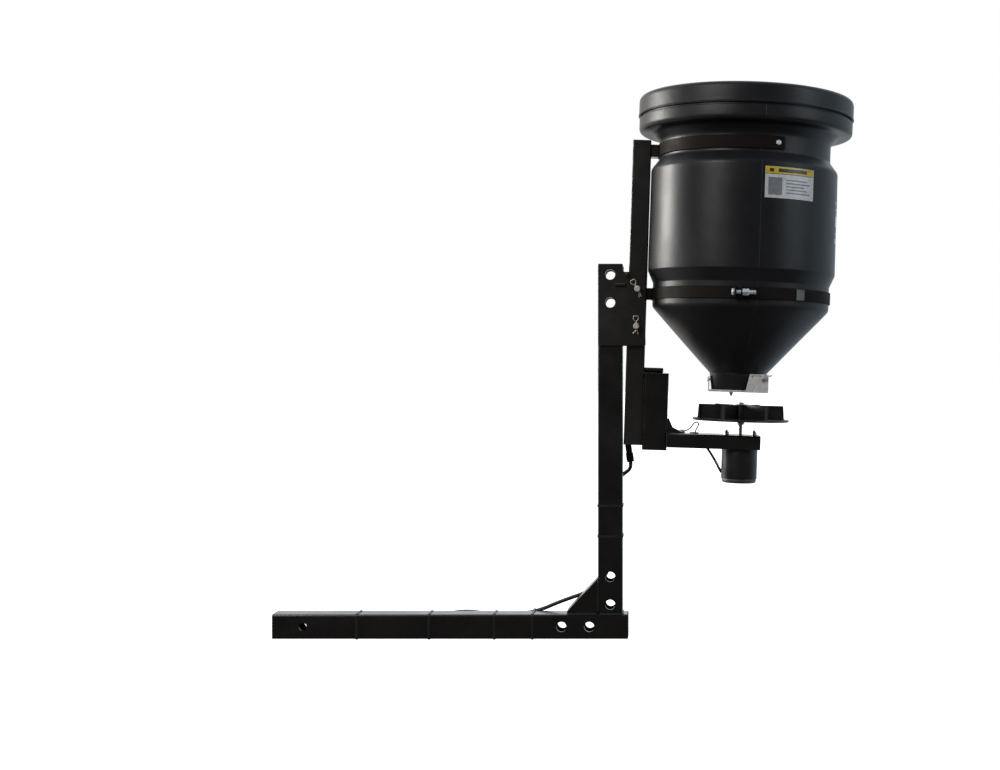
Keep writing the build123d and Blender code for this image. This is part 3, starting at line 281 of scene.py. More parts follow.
MATERIALS = {
    "frame_paint": frame_paint("frame_paint", (0.0042, 0.0040, 0.0038), (0.0135, 0.0128, 0.0115)),
    # A lit copy of the frame paint: its lighter colours are painted light on the upper parts, which catch more
    # light than the parts below.
    "upper_paint_lit": frame_paint("upper_paint_lit", (0.0165, 0.0150, 0.0130), (0.0310, 0.0285, 0.0245)),
    # The band's black paint with a warm, raised base colour and little shine: the red-brown tint and the lift
    # are painted reflection of the vehicle and painted sheen.
    "band_paint_reflection": frame_paint("band_paint_reflection", (0.0120, 0.0092, 0.0080), (0.0250, 0.0205, 0.0180),
                              shine=0.06, coat=0.0, dull=0.26),
    "weld_paint": weld_paint(),
    "hopper_poly": hopper_poly(),
    "plug_plastic": moulded("plug_plastic", (0.008, 0.008, 0.008), (0.016, 0.016, 0.016), 0.42),
    "spinner_plastic": moulded("spinner_plastic", (0.009, 0.0095, 0.0105), (0.022, 0.023, 0.025), 0.36, 500.0),
    "connector_plastic": moulded("connector_plastic", (0.01, 0.01, 0.011), (0.022, 0.022, 0.023), 0.4),
    "tie_nylon": moulded("tie_nylon", (0.012, 0.012, 0.012), (0.028, 0.028, 0.028), 0.38),
    "rubber": moulded("rubber", (0.01, 0.01, 0.01), (0.02, 0.02, 0.02), 0.6),
    "motor_paint": moulded("motor_paint", (0.009, 0.009, 0.010), (0.019, 0.019, 0.021), 0.32, 380.0),
    "zinc_steel": plated("zinc_steel", (0.42, 0.47, 0.54), (0.72, 0.76, 0.82), (0.68, 0.66, 0.52), 0.27),
    "splice_zinc": plated("splice_zinc", (0.13, 0.135, 0.12), (0.20, 0.20, 0.185), (0.10, 0.105, 0.095), 0.45),
    "plain_steel": plated("plain_steel", (0.30, 0.31, 0.33), (0.55, 0.56, 0.58), (0.34, 0.28, 0.22), 0.3),
    "motor_alloy": plated("motor_alloy", (0.12, 0.12, 0.12), (0.22, 0.22, 0.22), (0.16, 0.15, 0.14), 0.48),
    "magnet": moulded("magnet", (0.03, 0.03, 0.032), (0.06, 0.06, 0.062), 0.55),
    "copper": plated("copper", (0.45, 0.16, 0.07), (0.72, 0.33, 0.17), (0.5, 0.22, 0.09), 0.3),
    "brass": plated("brass", (0.55, 0.40, 0.16), (0.78, 0.61, 0.28), (0.5, 0.36, 0.16), 0.3),
    "carbon": moulded("carbon", (0.012, 0.012, 0.012), (0.03, 0.03, 0.03), 0.6),
    "board": moulded("board", (0.16, 0.09, 0.03), (0.28, 0.18, 0.07), 0.5),
    "gate_steel": galvanised(),
    # Pale yellow, pink and blue-white zinc: the bright tinted colours are painted reflection of the surround
    # on the zinc's own pale tone.
    "cotter_zinc": zinc_painted_glint("cotter_zinc", (0.62, 0.56, 0.38), (0.92, 0.88, 0.74), (0.40, 0.34, 0.22), 0.5),
    "pin_zinc": zinc_painted_glint("pin_zinc", (0.86, 0.72, 0.68), (0.98, 0.93, 0.92), (0.66, 0.52, 0.46), 0.35),
    "bolt_zinc": zinc_painted_glint("bolt_zinc", (0.66, 0.72, 0.80), (0.95, 0.97, 1.0), (0.52, 0.55, 0.60), 0.55),
    "wire_red": insulation("wire_red", (0.20, 0.016, 0.012), (0.34, 0.030, 0.022)),
    "wire_black": insulation("wire_black", (0.008, 0.008, 0.008), (0.018, 0.018, 0.018)),
    "harness_jacket": insulation("harness_jacket", (0.010, 0.010, 0.011), (0.03, 0.03, 0.031)),
    "label_yellow": printed("label_yellow", (0.42, 0.28, 0.01), (0.80, 0.56, 0.02)),
    "label_pale": printed("label_pale", (0.50, 0.50, 0.49), (0.72, 0.73, 0.75)),
    "label_ink": printed("label_ink", (0.02, 0.02, 0.02), (0.035, 0.035, 0.037)),
    "label_grey": printed("label_grey", (0.14, 0.15, 0.16), (0.24, 0.26, 0.28)),
}
NODE_SLOT = {part["node"]: part["material_slot"] for part in frame["record"]["subparts"]}
NODE_BODY = {node: body for body, nodes in frame["record"]["behaviour"]["bodies"].items() for node in nodes}


# ------------------------------------------------------------------- mesh helpers
def add_piece(name, mesh, material, body="frame", node=None):
    """Link a finished mesh as a piece that rides on a body and may stand for a node."""
    piece = bpy.data.objects.new(name, mesh)
    bpy.context.scene.collection.objects.link(piece)
    mesh.materials.clear()
    mesh.materials.append(MATERIALS[material])
    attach(piece, body)
    if node:
        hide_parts(node)
    return piece


def smooth(mesh, angle=32.0):
    for polygon in mesh.polygons:
        polygon.use_smooth = True
    mesh.set_sharp_from_angle(angle=math.radians(angle))


def eased(node, width=0.0007, angle=30.0, material=None, segments=2):
    """A copy of a CAD node with its hard edges rounded, standing for that node."""
    source = NODES[node]
    mesh = source.data.copy()
    mesh.transform(source.matrix_world)
    work = bmesh.new()
    work.from_mesh(mesh)
    bmesh.ops.remove_doubles(work, verts=work.verts, dist=2e-6)
    bmesh.ops.dissolve_limit(work, angle_limit=math.radians(0.6), verts=work.verts, edges=work.edges)
    work.to_mesh(mesh)
    work.free()
    smooth(mesh, angle)
    piece = add_piece(node + "_eased", mesh, material or NODE_SLOT[node], NODE_BODY[node], node)
    bevel = piece.modifiers.new("ease", "BEVEL")
    bevel.width = width
    bevel.segments = segments
    bevel.limit_method = "ANGLE"
    bevel.angle_limit = math.radians(angle)
    bevel.harden_normals = False
    return piece


def mesh_from(name, verts, faces):
    mesh = bpy.data.meshes.new(name)
    mesh.from_pydata([tuple(v) for v in verts], [], faces)
    mesh.update()
    smooth(mesh)
    return mesh


def rounded(points, radii, steps=7):
    """Polyline points of an outline with each corner rounded by its radius."""
    line = []
    count = len(points)
    for index, (here, radius) in enumerate(zip(points, radii)):
        here = Vector(here)
        before = Vector(points[index - 1])
        after = Vector(points[(index + 1) % count])
        if radius <= 0 or index in (0, count - 1):
            line.append(here)
            continue
        into, out = (here - before), (after - here)
        turn = into.angle(out)
        if turn < 1e-3:
            line.append(here)
            continue
        reach = radius * math.tan(turn / 2)
        reach = min(reach, 0.48 * into.length, 0.48 * out.length)
        start = here - into.normalized() * reach
        end = here + out.normalized() * reach
        for step in range(steps + 1):
            t = step / steps
            line.append(start * (1 - t) ** 2 + here * 2 * t * (1 - t) + end * t * t)
    return line


def lathe(name, profile, segments=220, wobble=None):
    """Spin an (r, w) profile round the hopper's axis. wobble shifts a point's radius."""
    verts = []
    for step in range(segments):
        azimuth = 360.0 * step / segments
        for r, w in profile:
            extra = wobble(azimuth, r, w) if wobble else 0.0
            verts.append(hopper_point(azimuth, max(r + extra, 0.0), w))
    rows = len(profile)
    faces = []
    for step in range(segments):
        following = (step + 1) % segments
        for row in range(rows - 1):
            here, there = step * rows + row, following * rows + row
            faces.append((here, there, there + 1, here + 1))
    return mesh_from(name, verts, faces)


def sweep_tube(name, points, radius, sides=12, closed_ends=True):
    """A round tube of changing radius through world points. radius may be a function."""
    verts, faces = [], []
    count = len(points)
    tangent = (points[1] - points[0]).normalized()
    side = tangent.orthogonal().normalized()
    for index, point in enumerate(points):
        ahead = points[min(index + 1, count - 1)] - points[max(index - 1, 0)]
        tangent = ahead.normalized()
        side = (side - tangent * side.dot(tangent)).normalized()
        up = tangent.cross(side)
        size = radius(index) if callable(radius) else radius
        for spoke in range(sides):
            turn = 2 * math.pi * spoke / sides
            verts.append(point + (side * math.cos(turn) + up * math.sin(turn)) * size)
    for index in range(count - 1):
        for spoke in range(sides):
            following = (spoke + 1) % sides
            a, b = index * sides + spoke, index * sides + following
            faces.append((a, b, b + sides, a + sides))
    if closed_ends:
        faces.append(tuple(reversed(range(sides))))
        faces.append(tuple(range((count - 1) * sides, count * sides)))
    return mesh_from(name, verts, faces)


def spread_along(corners, pitch):
    """Points a set distance apart along straight runs between corners."""
    points = []
    for start, end in zip(corners, corners[1:]):
        steps = max(2, int((end - start).length / pitch))
        points.extend(start.lerp(end, step / steps) for step in range(steps))
    points.append(corners[-1])
    return points


WELD_COUNT = [0]


def weld(corners, radius):
    """A painted weld bead with stacked ripples, laid along world corners."""
    rng = random.Random(SEED + WELD_COUNT[0])
    WELD_COUNT[0] += 1
    points = spread_along([Vector(c) for c in corners], 0.0006)
    phase = rng.random()
    last = len(points) - 1
    size = []
    for index in range(len(points)):
        ripple = ((index / 3.6 + phase) % 1.0) ** 0.6
        ends = min(1.0, (index + 1) / 4.0, (last - index + 1) / 4.0)
        size.append(radius * ends * (0.86 + 0.2 * ripple + 0.05 * math.sin(index * 0.11 + phase * 9)))
    mesh = sweep_tube("weld", points, lambda index: size[index], sides=10)
    return add_piece(f"weld_{WELD_COUNT[0]:02d}", mesh, "weld_paint", "frame")


def nurbs_line(name, points):
    """A smooth open NURBS curve object with the points as its control points."""
    data = bpy.data.curves.new(name, "CURVE")
    data.dimensions = "3D"
    spline = data.splines.new("NURBS")
    spline.points.add(len(points) - 1)
    for knot, point in zip(spline.points, points):
        knot.co = (*point, 1.0)
    spline.order_u = 3
    spline.use_endpoint_u = True
    spline.resolution_u = 10
    curve = bpy.data.objects.new(name, data)
    bpy.context.scene.collection.objects.link(curve)
    return curve


def curve_points(curve):
    mesh = bpy.data.meshes.new_from_object(curve)
    points = [v.co.copy() for v in mesh.vertices]
    bpy.data.meshes.remove(mesh)
    return points


# ----------------------------------------------------------------------- camera
def make_camera():
    data = bpy.data.cameras.new("camera")
    data.sensor_width = 36.0
    data.lens = 52.25
    data.shift_x = -0.16
    data.shift_y = -0.015
    camera = bpy.data.objects.new("camera", data)
    camera.location = (0.732, -3.0, 0.5266)
    camera.rotation_euler = (math.radians(90.0), 0.0, 0.0)
    bpy.context.scene.collection.objects.link(camera)
    bpy.context.scene.camera = camera


make_camera()

# ------------------------------------------------------------------------- wiring
def unit_point(u, y, w):
    """World point in metres from unit-frame millimetres."""
    return UNIT @ (Vector((u, y, w)) * 0.001)


LEAD_SPACING = 2.7
LEAD_PAIR = [
    (182.2, 4.0, -292.2, 90), (176.6, 4.4, -281.0, 90), (167.0, 5.0, -265.0, 85), (156.8, 5.5, -249.5, 65),
    (145.2, 6.0, -237.0, 35), (134.0, 6.0, -228.0, 12), (127.6, 6.0, -219.0, 0), (129.0, 6.0, -210.5, 0),
    (132.4, 6.0, -203.6, 0), (135.2, 6.0, -196.8, 0), (131.6, 6.0, -192.4, 0), (125.6, 5.8, -194.4, 0),
    (121.8, 5.4, -200.4, 0), (117.2, 4.8, -206.6, 0), (110.0, 4.2, -211.4, 0), (101.0, 4.0, -213.0, 0),
    (92.5, 9.0, -213.2, 45), (84.5, 17.5, -213.0, 90), (77.0, 26.0, -213.0, 90), (66.0, 30.5, -213.5, 90),
    (51.0, 30.8, -214.6, 90), (34.0, 30.4, -217.0, 90), (17.0, 29.2, -221.0, 75), (3.0, 28.0, -227.0, 40),
    (-6.0, 27.2, -234.0, 10), (-10.6, 27.0, -243.0, 0),
]
CONNECTOR_TOP = unit_point(-10.6, 27.0, -243.0)
CONNECTOR_LOW = unit_point(-4.0, 27.0, -281.0)
HARNESS_ROUTE = [
    (671.4, 28.0, 327.0), (667.6, 31.5, 318.0), (658.5, 35.6, 311.5), (648.0, 37.6, 302.0),
    (641.0, 37.5, 287.0), (636.5, 37.0, 266.0), (634.2, 36.8, 238.0), (631.0, 35.5, 205.0),
    (629.0, 35.0, 165.0),
    (628.0, 35.5, 130.0), (622.0, 37.0, 103.0), (603.0, 38.5, 78.0), (575.0, 38.5, 60.0), (545.0, 37.5, 50.0),
    (515.0, 36.0, 39.0), (487.0, 34.5, 27.0), (455.0, 33.5, 19.0), (415.0, 33.0, 16.0), (370.0, 33.5, 18.5),
    (325.0, 34.0, 23.5), (282.0, 33.5, 17.0), (235.0, 33.0, 12.0), (185.0, 33.5, 14.0), (135.0, 33.0, 11.0),
    (90.0, 33.5, 13.0), (50.0, 33.0, 12.0),
]
# Nylon ties: heights on the post, and places along the shank.
TIE_HEIGHTS = (185.0, 248.0)
TIE_PLACES = (110.0, 258.0, 392.0, 470.0)


def lead_route(side):
    """Control points of one motor lead, beside the pair's centre line."""
    route = []
    last = len(LEAD_PAIR) - 1
    for index, (u, y, w, roll) in enumerate(LEAD_PAIR):
        before = Vector(LEAD_PAIR[max(index - 1, 0)][:3])
        after = Vector(LEAD_PAIR[min(index + 1, last)][:3])
        along = (after - before).normalized()
        across = Vector((0, math.cos(math.radians(roll)), math.sin(math.radians(roll))))
        across = (across - along * across.dot(along)).normalized()
        point = Vector((u, y, w)) + across * (side * LEAD_SPACING / 2)
        route.append(unit_point(*point))
    return route


def wire(name, route, radius, material, node):
    """A wire swept along the NURBS line of its route, standing for its CAD tube."""
    curve = nurbs_line(name + "_line", route)
    points = curve_points(curve)
    bpy.data.objects.remove(curve)
    mesh = sweep_tube(name, points, radius, sides=16)
    add_piece(name, mesh, material, "frame", node)


def make_wires():
    wire("red_wire", lead_route(-1), 0.00132, "wire_red", "red_lead")
    wire("black_wire", lead_route(1), 0.00132, "wire_black", "black_lead")
    route = [CONNECTOR_LOW] + [Vector(point) * 0.001 for point in HARNESS_ROUTE]
    wire("harness", route, 0.004, "harness_jacket", "harness_cable")


make_wires()


# ---------------------------------------------------------------- turned and bent
HOPPER_OUTER = [(0.0586, -0.090), (0.1815, 0.042), (0.1815, 0.091), (0.1922, 0.116), (0.192, 0.324),
                (0.176, 0.345),
                (0.176, 0.382), (0.190, 0.3984), (0.2195, 0.3999), (0.2195, 0.428), (0.2158, 0.428),
                (0.2158, 0.461)]
HOPPER_OUTER_R = [0.0005, 0.014, 0.005, 0.006, 0.016, 0.009, 0.016, 0.014, 0.010, 0.003, 0.0012, 0.0015]
HOPPER_INNER = [(0.2118, 0.461), (0.2118, 0.4025), (0.188, 0.401), (0.172, 0.386), (0.172, 0.343),
                (0.188, 0.322),
                (0.1882, 0.118), (0.1775, 0.093), (0.1775, 0.044), (0.0546, -0.090)]
HOPPER_INNER_R = [0.0015, 0.004, 0.012, 0.012, 0.008, 0.012, 0.008, 0.006, 0.012, 0.0005]
LID_PROFILE = [(0.2208, 0.4325), (0.2208, 0.4725), (0.196, 0.4735), (0.190, 0.4685), (0.150, 0.4695),
               (0.144, 0.475),
               (0.0, 0.4785), (0.0, 0.4745), (0.142, 0.471), (0.148, 0.4655), (0.192, 0.4645),
               (0.197, 0.4693),
               (0.2168, 0.4685), (0.2168, 0.4325)]
LID_R = [0.0012, 0.012, 0.003, 0.003, 0.003, 0.003, 0, 0, 0.003, 0.003, 0.003, 0.003, 0.008, 0.0012]

SEAM_SINK = 0.00025


def split_long(profile, longest=0.012):
    """Extra points on long straight runs, so that a wobble can bend them."""
    line = []
    for start, end in zip(profile, profile[1:]):
        steps = max(1, int((Vector(end) - Vector(start)).length / longest))
        line.extend(Vector(start).lerp(Vector(end), step / steps) for step in range(steps))
    line.append(Vector(profile[-1]))
    return line


def body_wobble(azimuth, r, w):
    """The slight out-of-round and ripple of a rotationally moulded wall."""
    turn = math.radians(azimuth)
    if r < 0.07 or w > 0.30 or 0.035 < w < 0.1:
        return 0.0
    slow = 0.00035 * math.sin(2 * turn + 0.8) + 0.0002 * math.sin(5 * turn + 31 * w)
    fade = min(1.0, (0.30 - w) / 0.03)
    return slow * fade


def make_hopper():
    outline = HOPPER_OUTER + HOPPER_INNER
    profile = rounded(outline + [outline[0]], HOPPER_OUTER_R + HOPPER_INNER_R + [0])
    mesh = lathe("hopper_shell", split_long(profile), 240, body_wobble)
    add_piece("hopper_shell", mesh, "hopper_poly", "frame", "hopper")
    for index, azimuth in enumerate((FRONT + 7.2, FRONT + 187.2)):
        line = rounded(HOPPER_OUTER, HOPPER_OUTER_R)
        points = [hopper_point(azimuth, r - SEAM_SINK + body_wobble(azimuth, r, w), w)
                  for r, w in split_long(line)]
        ridge = sweep_tube("mould_seam", points, 0.0006, sides=8)
        add_piece(f"mould_seam_{index}", ridge, "hopper_poly", "frame")


def make_lid():
    mesh = lathe("lid_shell", split_long(rounded(LID_PROFILE + [LID_PROFILE[0]], LID_R + [0])), 240)
    work = bmesh.new()
    work.from_mesh(mesh)
    bmesh.ops.remove_doubles(work, verts=work.verts, dist=1e-6)
    work.to_mesh(mesh)
    work.free()
    smooth(mesh)
    add_piece("lid_shell", mesh, "hopper_poly", "lid", "lid")
    ribs = [slab((0.199, 0.2133), (-0.0018, 0.0018), (0.447, 0.4700), 30.0 * index) for index in range(12)]
    joined("lid_ribs", ribs, "hopper_poly", "lid")
    rim = [hopper_point(3.0 * step, 0.2209, 0.4345) for step in range(121)]
    bead = sweep_tube("lid_bead", rim, 0.0011, sides=8)
    add_piece("lid_bead", bead, "hopper_poly", "lid")


def slab(r, across, w, azimuth=0.0, ease=0.0004, frame_of=None):
    """A bevelled block set radially about the hopper axis, as verts and faces."""
    work = bmesh.new()
    bmesh.ops.create_cube(work, size=1.0)
    size = Vector((r[1] - r[0], across[1] - across[0], w[1] - w[0]))
    middle = Vector((sum(r) / 2, sum(across) / 2, sum(w) / 2))
    turned = (frame_of or HOPPER) @ Matrix.Rotation(math.radians(azimuth), 4, "Z")
    place = turned @ Matrix.Translation(middle)
    bmesh.ops.scale(work, vec=size, verts=work.verts)
    width = min(ease, min(size) * 0.3)
    bmesh.ops.bevel(work, geom=work.edges[:], offset=width, segments=2, affect="EDGES", profile=0.6)
    bmesh.ops.transform(work, matrix=place, verts=work.verts)
    return work


def joined(name, works, material, body, node=None):
    """Several bmesh blocks as one piece."""
    mesh = bpy.data.meshes.new(name)
    whole = bmesh.new()
    for work in works:
        part = bpy.data.meshes.new("part")
        work.to_mesh(part)
        work.free()
        whole.from_mesh(part)
        bpy.data.meshes.remove(part)
    whole.to_mesh(mesh)
    whole.free()
    smooth(mesh, 40)
    return add_piece(name, mesh, material, body, node)


def arc_strip(r, w, start, span, ease=0.0004, steps=None):
    """A curved strip of a ring about the hopper axis, with eased corners and ends."""
    ease = min(ease, (r[1] - r[0]) * 0.45, (w[1] - w[0]) * 0.45)
    section = [(r[0], w[0]), (r[1] - ease, w[0]), (r[1], w[0] + ease),
               (r[1], w[1] - ease), (r[1] - ease, w[1]), (r[0], w[1])]
    steps = steps or max(4, int(abs(span) / 1.5))
    work = bmesh.new()
    rows = []
    for step in range(steps + 1):
        azimuth = start + span * step / steps
        rows.append([work.verts.new(hopper_point(azimuth, radius, level)) for radius, level in section])
    count = len(section)
    for first, second in zip(rows, rows[1:]):
        for index in range(count):
            following = (index + 1) % count
            work.faces.new((first[index], first[following], second[following], second[index]))
    work.faces.new(tuple(reversed(rows[0])))
    work.faces.new(tuple(rows[-1]))
    bmesh.ops.recalc_face_normals(work, faces=work.faces)
    return work


BAND_R, BAND_W = (0.1817, 0.1845), (0.056, 0.080)
LUG_NEAR, LUG_FAR = 0.00475, 0.00775


def make_straps():
    """The neck strap, the clamp band with its lugs, and the splice over its weld."""
    strap = arc_strip((0.1762, 0.1794), (0.350, 0.3754), 67.3, 225.4, 0.0007)
    joined("neck_strap_bent", [strap], "band_paint_reflection", "frame", "neck_strap")
    lug_azimuth = FRONT - 4.2
    half = math.degrees(LUG_NEAR / BAND_R[1])
    parts = [arc_strip(BAND_R, BAND_W, lug_azimuth + half, 360 - 2 * half, 0.0006, 240)]
    for side in (-1, 1):
        across = sorted((side * LUG_NEAR, side * LUG_FAR))
        parts.append(slab((0.1819, 0.2015), across, BAND_W, lug_azimuth, 0.0009))
    joined("clamp_band_bent", parts, "band_paint_reflection", "frame", "clamp_band")
    splice = arc_strip((0.1843, 0.1871), (0.057, 0.0785), FRONT + 33.0, 6.2, 0.0006)
    joined("band_splice", [splice], "splice_zinc", "frame")


REAR_STRIPES = ((0.180, 0.189), (0.199, 0.202), (0.214, 0.235), (0.247, 0.250), (0.258, 0.268))


def make_labels():
    """Two stick-on films: colour fields and plain bars, with no lettering."""
    base, layer = 0.19222, 0.00006
    start, span = FRONT + 9.2, 33.0
    panel = arc_strip((base - 0.0003, base), (0.253, 0.314), start, span, 0.0001)
    joined("label_panel", [panel], "label_pale", "frame", "front_label")
    header = arc_strip((base, base + layer), (0.3005, 0.3133), start + 0.3, span - 0.6, 0.00002)
    joined("label_header", [header], "label_yellow", "frame")
    ink = [arc_strip((base, base + 2 * layer), (0.2993, 0.3005), start + 0.3, span - 0.6, 0.00001),
           arc_strip((base, base + 2 * layer), (0.3034, 0.3104), start + 8.0, 19.5, 0.00001),
           arc_strip((base, base + 2 * layer), (0.3034, 0.3104), start + 2.6, 2.6, 0.00001)]
    joined("label_bars", ink, "label_ink", "frame")
    grey = [arc_strip((base, base + layer), (0.259, 0.293), start + 2.0, 8.5, 0.00001)]
    for row in range(5):
        levels = (0.2625 + 0.0062 * row, 0.2650 + 0.0062 * row)
        grey.append(arc_strip((base, base + layer), levels, start + 13.0, 17.0 - 2.2 * (row % 3), 0.00001))
    joined("label_blocks", grey, "label_grey", "frame")
    start, span = FRONT + 73.0, 34.0
    panel = arc_strip((base - 0.0003, base), (0.176, 0.272), start, span, 0.0001)
    joined("rear_panel", [panel], "label_ink", "frame", "rear_label")
    stripes = [arc_strip((base, base + layer), (low, high), start + 1.0, span - 2.0, 0.00001)
               for low, high in REAR_STRIPES]
    joined("rear_stripes", stripes, "label_pale", "frame")


make_hopper()
make_lid()
make_straps()
make_labels()

# ------------------------------------------------------------ carried-over CAD nodes
EASED = {
    "receiver_tube": 0.0010, "post_tube": 0.0008, "corner_gusset": 0.0010, "head_plate_near": 0.0008,
    "head_plate_far": 0.0008, "mast_tube": 0.0008, "strap_standoff": 0.0007, "band_standoff": 0.0007,
    "arm_bracket": 0.0008, "arm_gusset": 0.0006, "arm_channel": 0.0006, "bracket_top_bar": 0.0004,
    "tube_plugs": 0.0005, "hitch_pins": 0.0005, "stop_stud": 0.0004, "mast_spacers": 0.0004,
    "gate_base": 0.0003, "feed_gate": 0.0003, "gate_rivets": 0.0006, "gate_stud": 0.0003,
    "gate_stop_screw": 0.0004, "wing_nut": 0.0005, "outlet_spout": 0.0004, "strap_bolts": 0.0005,
    "strap_nuts": 0.0004, "clamp_bolt": 0.0005, "spinner_disc": 0.0006, "spinner_nut": 0.0004,
    "spinner_hub": 0.0004, "motor_studs": 0.0003, "motor_nuts": 0.0004, "motor_end_cap": 0.0004,
    "motor_can": 0.0004, "motor_front_plate": 0.0005, "motor_tie_screws": 0.0003, "drive_shaft": 0.0004,
    "clip_screw": 0.0005, "lead_clip": 0.0003, "lead_grommets": 0.0004, "lead_connector": 0.0005,
    "harness_connector": 0.0005, "vehicle_plug": 0.0006, "cotter_pins": 0.0002, "harness_ties": 0.0003,
}
# mast_tube, head_plate_near and stop_stud take the lighter, painted-light copy of the frame paint.
FINISHES = {"mast_tube": "upper_paint_lit", "head_plate_near": "upper_paint_lit", "stop_stud": "upper_paint_lit",
            "cotter_pins": "cotter_zinc", "hitch_pins": "pin_zinc", "strap_bolts": "bolt_zinc",
            "clamp_bolt": "bolt_zinc",
            "gate_stud": "bolt_zinc", "wing_nut": "bolt_zinc", "spinner_nut": "bolt_zinc"}
for node_name, ease in EASED.items():
    eased(node_name, ease, material=FINISHES.get(node_name))
# Nodes inside the motor, which keep their CAD meshes.
INSIDE_MOTOR = ("motor_magnets", "motor_bearings", "brush_card", "motor_brushes",
                "armature_core", "armature_windings", "commutator")
for node_name in INSIDE_MOTOR:
    NODES[node_name].data.materials.clear()
    NODES[node_name].data.materials.append(MATERIALS[NODE_SLOT[node_name]])


# ------------------------------------------------------------------- added detail
def unit_line(*points):
    return [unit_point(*point) for point in points]


def world_line(*points):
    return [Vector(point) * 0.001 for point in points]


def make_welds():
    """Painted beads where the bars, plates and brackets meet."""
    front, right = -25.4, POST_X * 1000 + 25.4
    left = POST_X * 1000 - 25.4
    for y in (front, -front):
        weld(world_line((left + 3, y, 25.6), (right - 3, y, 25.6)), 0.0022)
        weld(world_line((left - 62, y, 26.0), (left - 2, y, 26.0)), 0.0020)
        weld(world_line((left, y, 30.0), (left, y, 96.0)), 0.0020)
        side = 1 if y > 0 else -1
        weld(world_line((left + 3, y + side * 0.4, 576.3), (right - 3, y + side * 0.4, 576.3)), 0.0021)
    weld(world_line((right, front + 3, 25.6), (right, -front - 3, 25.6)), 0.0022)
    half = MAST * 500
    for side in (-1, 1):
        weld(unit_line((half + 1.0, side * half, -104), (half + 1.0, side * half, -240)), 0.0020)
        weld(unit_line((half, side * 12.5, 350), (half, side * 12.5, 374)), 0.0017)
        weld(unit_line((half, side * 12.5, 57), (half, side * 12.5, 79)), 0.0017)
    weld(unit_line((ARM_START, -41, -216.8), (ARM_START, -41, -243)), 0.0019)
    weld(unit_line((ARM_START, 41, -216.8), (ARM_START, 41, -243)), 0.0019)
    weld(unit_line((ARM_START, -38, -216.2), (ARM_START, 38, -216.2)), 0.0019)
    weld(unit_line((ARM_START, -22.7, -214), (ARM_START, -22.7, -188)), 0.0014)
    weld(unit_line((ARM_START + 2, -22.7, -216.2), (ARM_START + 29, -22.7, -216.2)), 0.0014)


def tie_block(spot, along_post, half, across, reach, ease):
    """One block of a tie's head, reaching towards -X on the post or down on the shank."""
    wide = (-half, half)
    r, w = (reach, wide) if along_post else (wide, reach)
    return slab(r, across, w, ease=ease, frame_of=spot)


def tie_heads():
    """The square locking heads and cut tails of the nylon ties."""
    rise = TUBE / 2 + 0.0032
    spots = [(Matrix.Translation((POST_X, rise, z * 0.001)), True) for z in TIE_HEIGHTS]
    spots += [(Matrix.Translation((x * 0.001, rise, -0.006)), False) for x in TIE_PLACES]
    blocks = []
    for spot, along_post in spots:
        blocks.append(tie_block(spot, along_post, 0.0035, (-0.0022, 0.0022), (-0.0135, -0.0065), 0.0006))
        blocks.append(tie_block(spot, along_post, 0.0018, (-0.0008, 0.0002), (-0.0225, -0.0135), 0.0003))
    joined("tie_heads", blocks, "tie_nylon", "frame")


def ring_about(name, place, radius, w, thick, material, body="frame"):
    """A fine raised ring round an axis, such as a seam, a crimp or a step."""
    points = []
    for degrees in range(0, 364, 4):
        turn = math.radians(degrees)
        points.append(place @ Vector((radius * math.cos(turn), radius * math.sin(turn), w)))
    add_piece(name, sweep_tube(name, points, thick, sides=8, closed_ends=False), material, body)


def drive_detail():
    """Seams on the motor, and moulding rings and a lip on the spinner's disc."""
    ring_about("motor_seam_top", DRIVE, 0.0369, -0.2505, 0.0004, "motor_paint")
    ring_about("motor_seam_low", DRIVE, 0.0369, -0.3058, 0.0005, "motor_paint")
    for index, radius in enumerate((0.0300, 0.0560, 0.0800)):
        name = f"disc_ring_{index}"
        ring_about(name, DRIVE, radius, -0.1877, 0.0006, "spinner_plastic", "spinner")
    ring_about("disc_lip", DRIVE, 0.0986, -0.1835, 0.0007, "spinner_plastic", "spinner")


# Half sizes across, first rib's ends along the connector, and pitch, for each half of it.
CONNECTOR_RIBS = ((0.0068, 0.0052, 0.0030, 0.0042, 0.0030), (0.0079, 0.0062, 0.0215, 0.0229, 0.0034))


def connector_detail():
    """Ribs and a latch on the wiring connectors."""
    along = (CONNECTOR_LOW - CONNECTOR_TOP).normalized()
    across = Vector((0, 1, 0)).cross(along).normalized()
    turned = Matrix((across, Vector((0, 1, 0)), along)).transposed().to_4x4()
    place = Matrix.Translation(CONNECTOR_TOP) @ turned
    blocks = []
    for half_x, half_y, low, high, pitch in CONNECTOR_RIBS:
        for rib in range(4):
            levels = (low + pitch * rib, high + pitch * rib)
            blocks.append(slab((-half_x, half_x), (-half_y, half_y), levels, frame_of=place))
    blocks.append(slab((-0.0022, 0.0022), (-0.0070, -0.0050), (0.0125, 0.0260), ease=0.0005, frame_of=place))
    joined("connector_ribs", blocks, "connector_plastic", "frame")


make_welds()
tie_heads()
drive_detail()
connector_detail()


# --------------------------------------------------------------------------- stage
def area_light(name, place, target, size, watts, color):
    data = bpy.data.lights.new(name, "AREA")
    data.shape = "RECTANGLE"
    data.size, data.size_y = size
    data.energy = watts
    data.color = color
    light = bpy.data.objects.new(name, data)
    light.location = place
    light.rotation_euler = (Vector(target) - Vector(place)).to_track_quat("-Z", "Y").to_euler()
    bpy.context.scene.collection.objects.link(light)


# Direction, inner and outer limits of its cosine, and colour of each patch.
WORLD_LOBES = [
    ((0.0, 0.0, 1.0), -3.0, -2.0, (0.085, 0.078, 0.074)),
    ((-0.57, 0.82, 0.15), 0.30, 0.92, (0.72, 0.69, 0.66)),
    ((0.70, 0.70, 0.05), 0.35, 0.95, (0.42, 0.52, 0.60)),
    ((0.0, 0.35, 0.94), 0.45, 0.98, (0.62, 0.78, 0.98)),
]


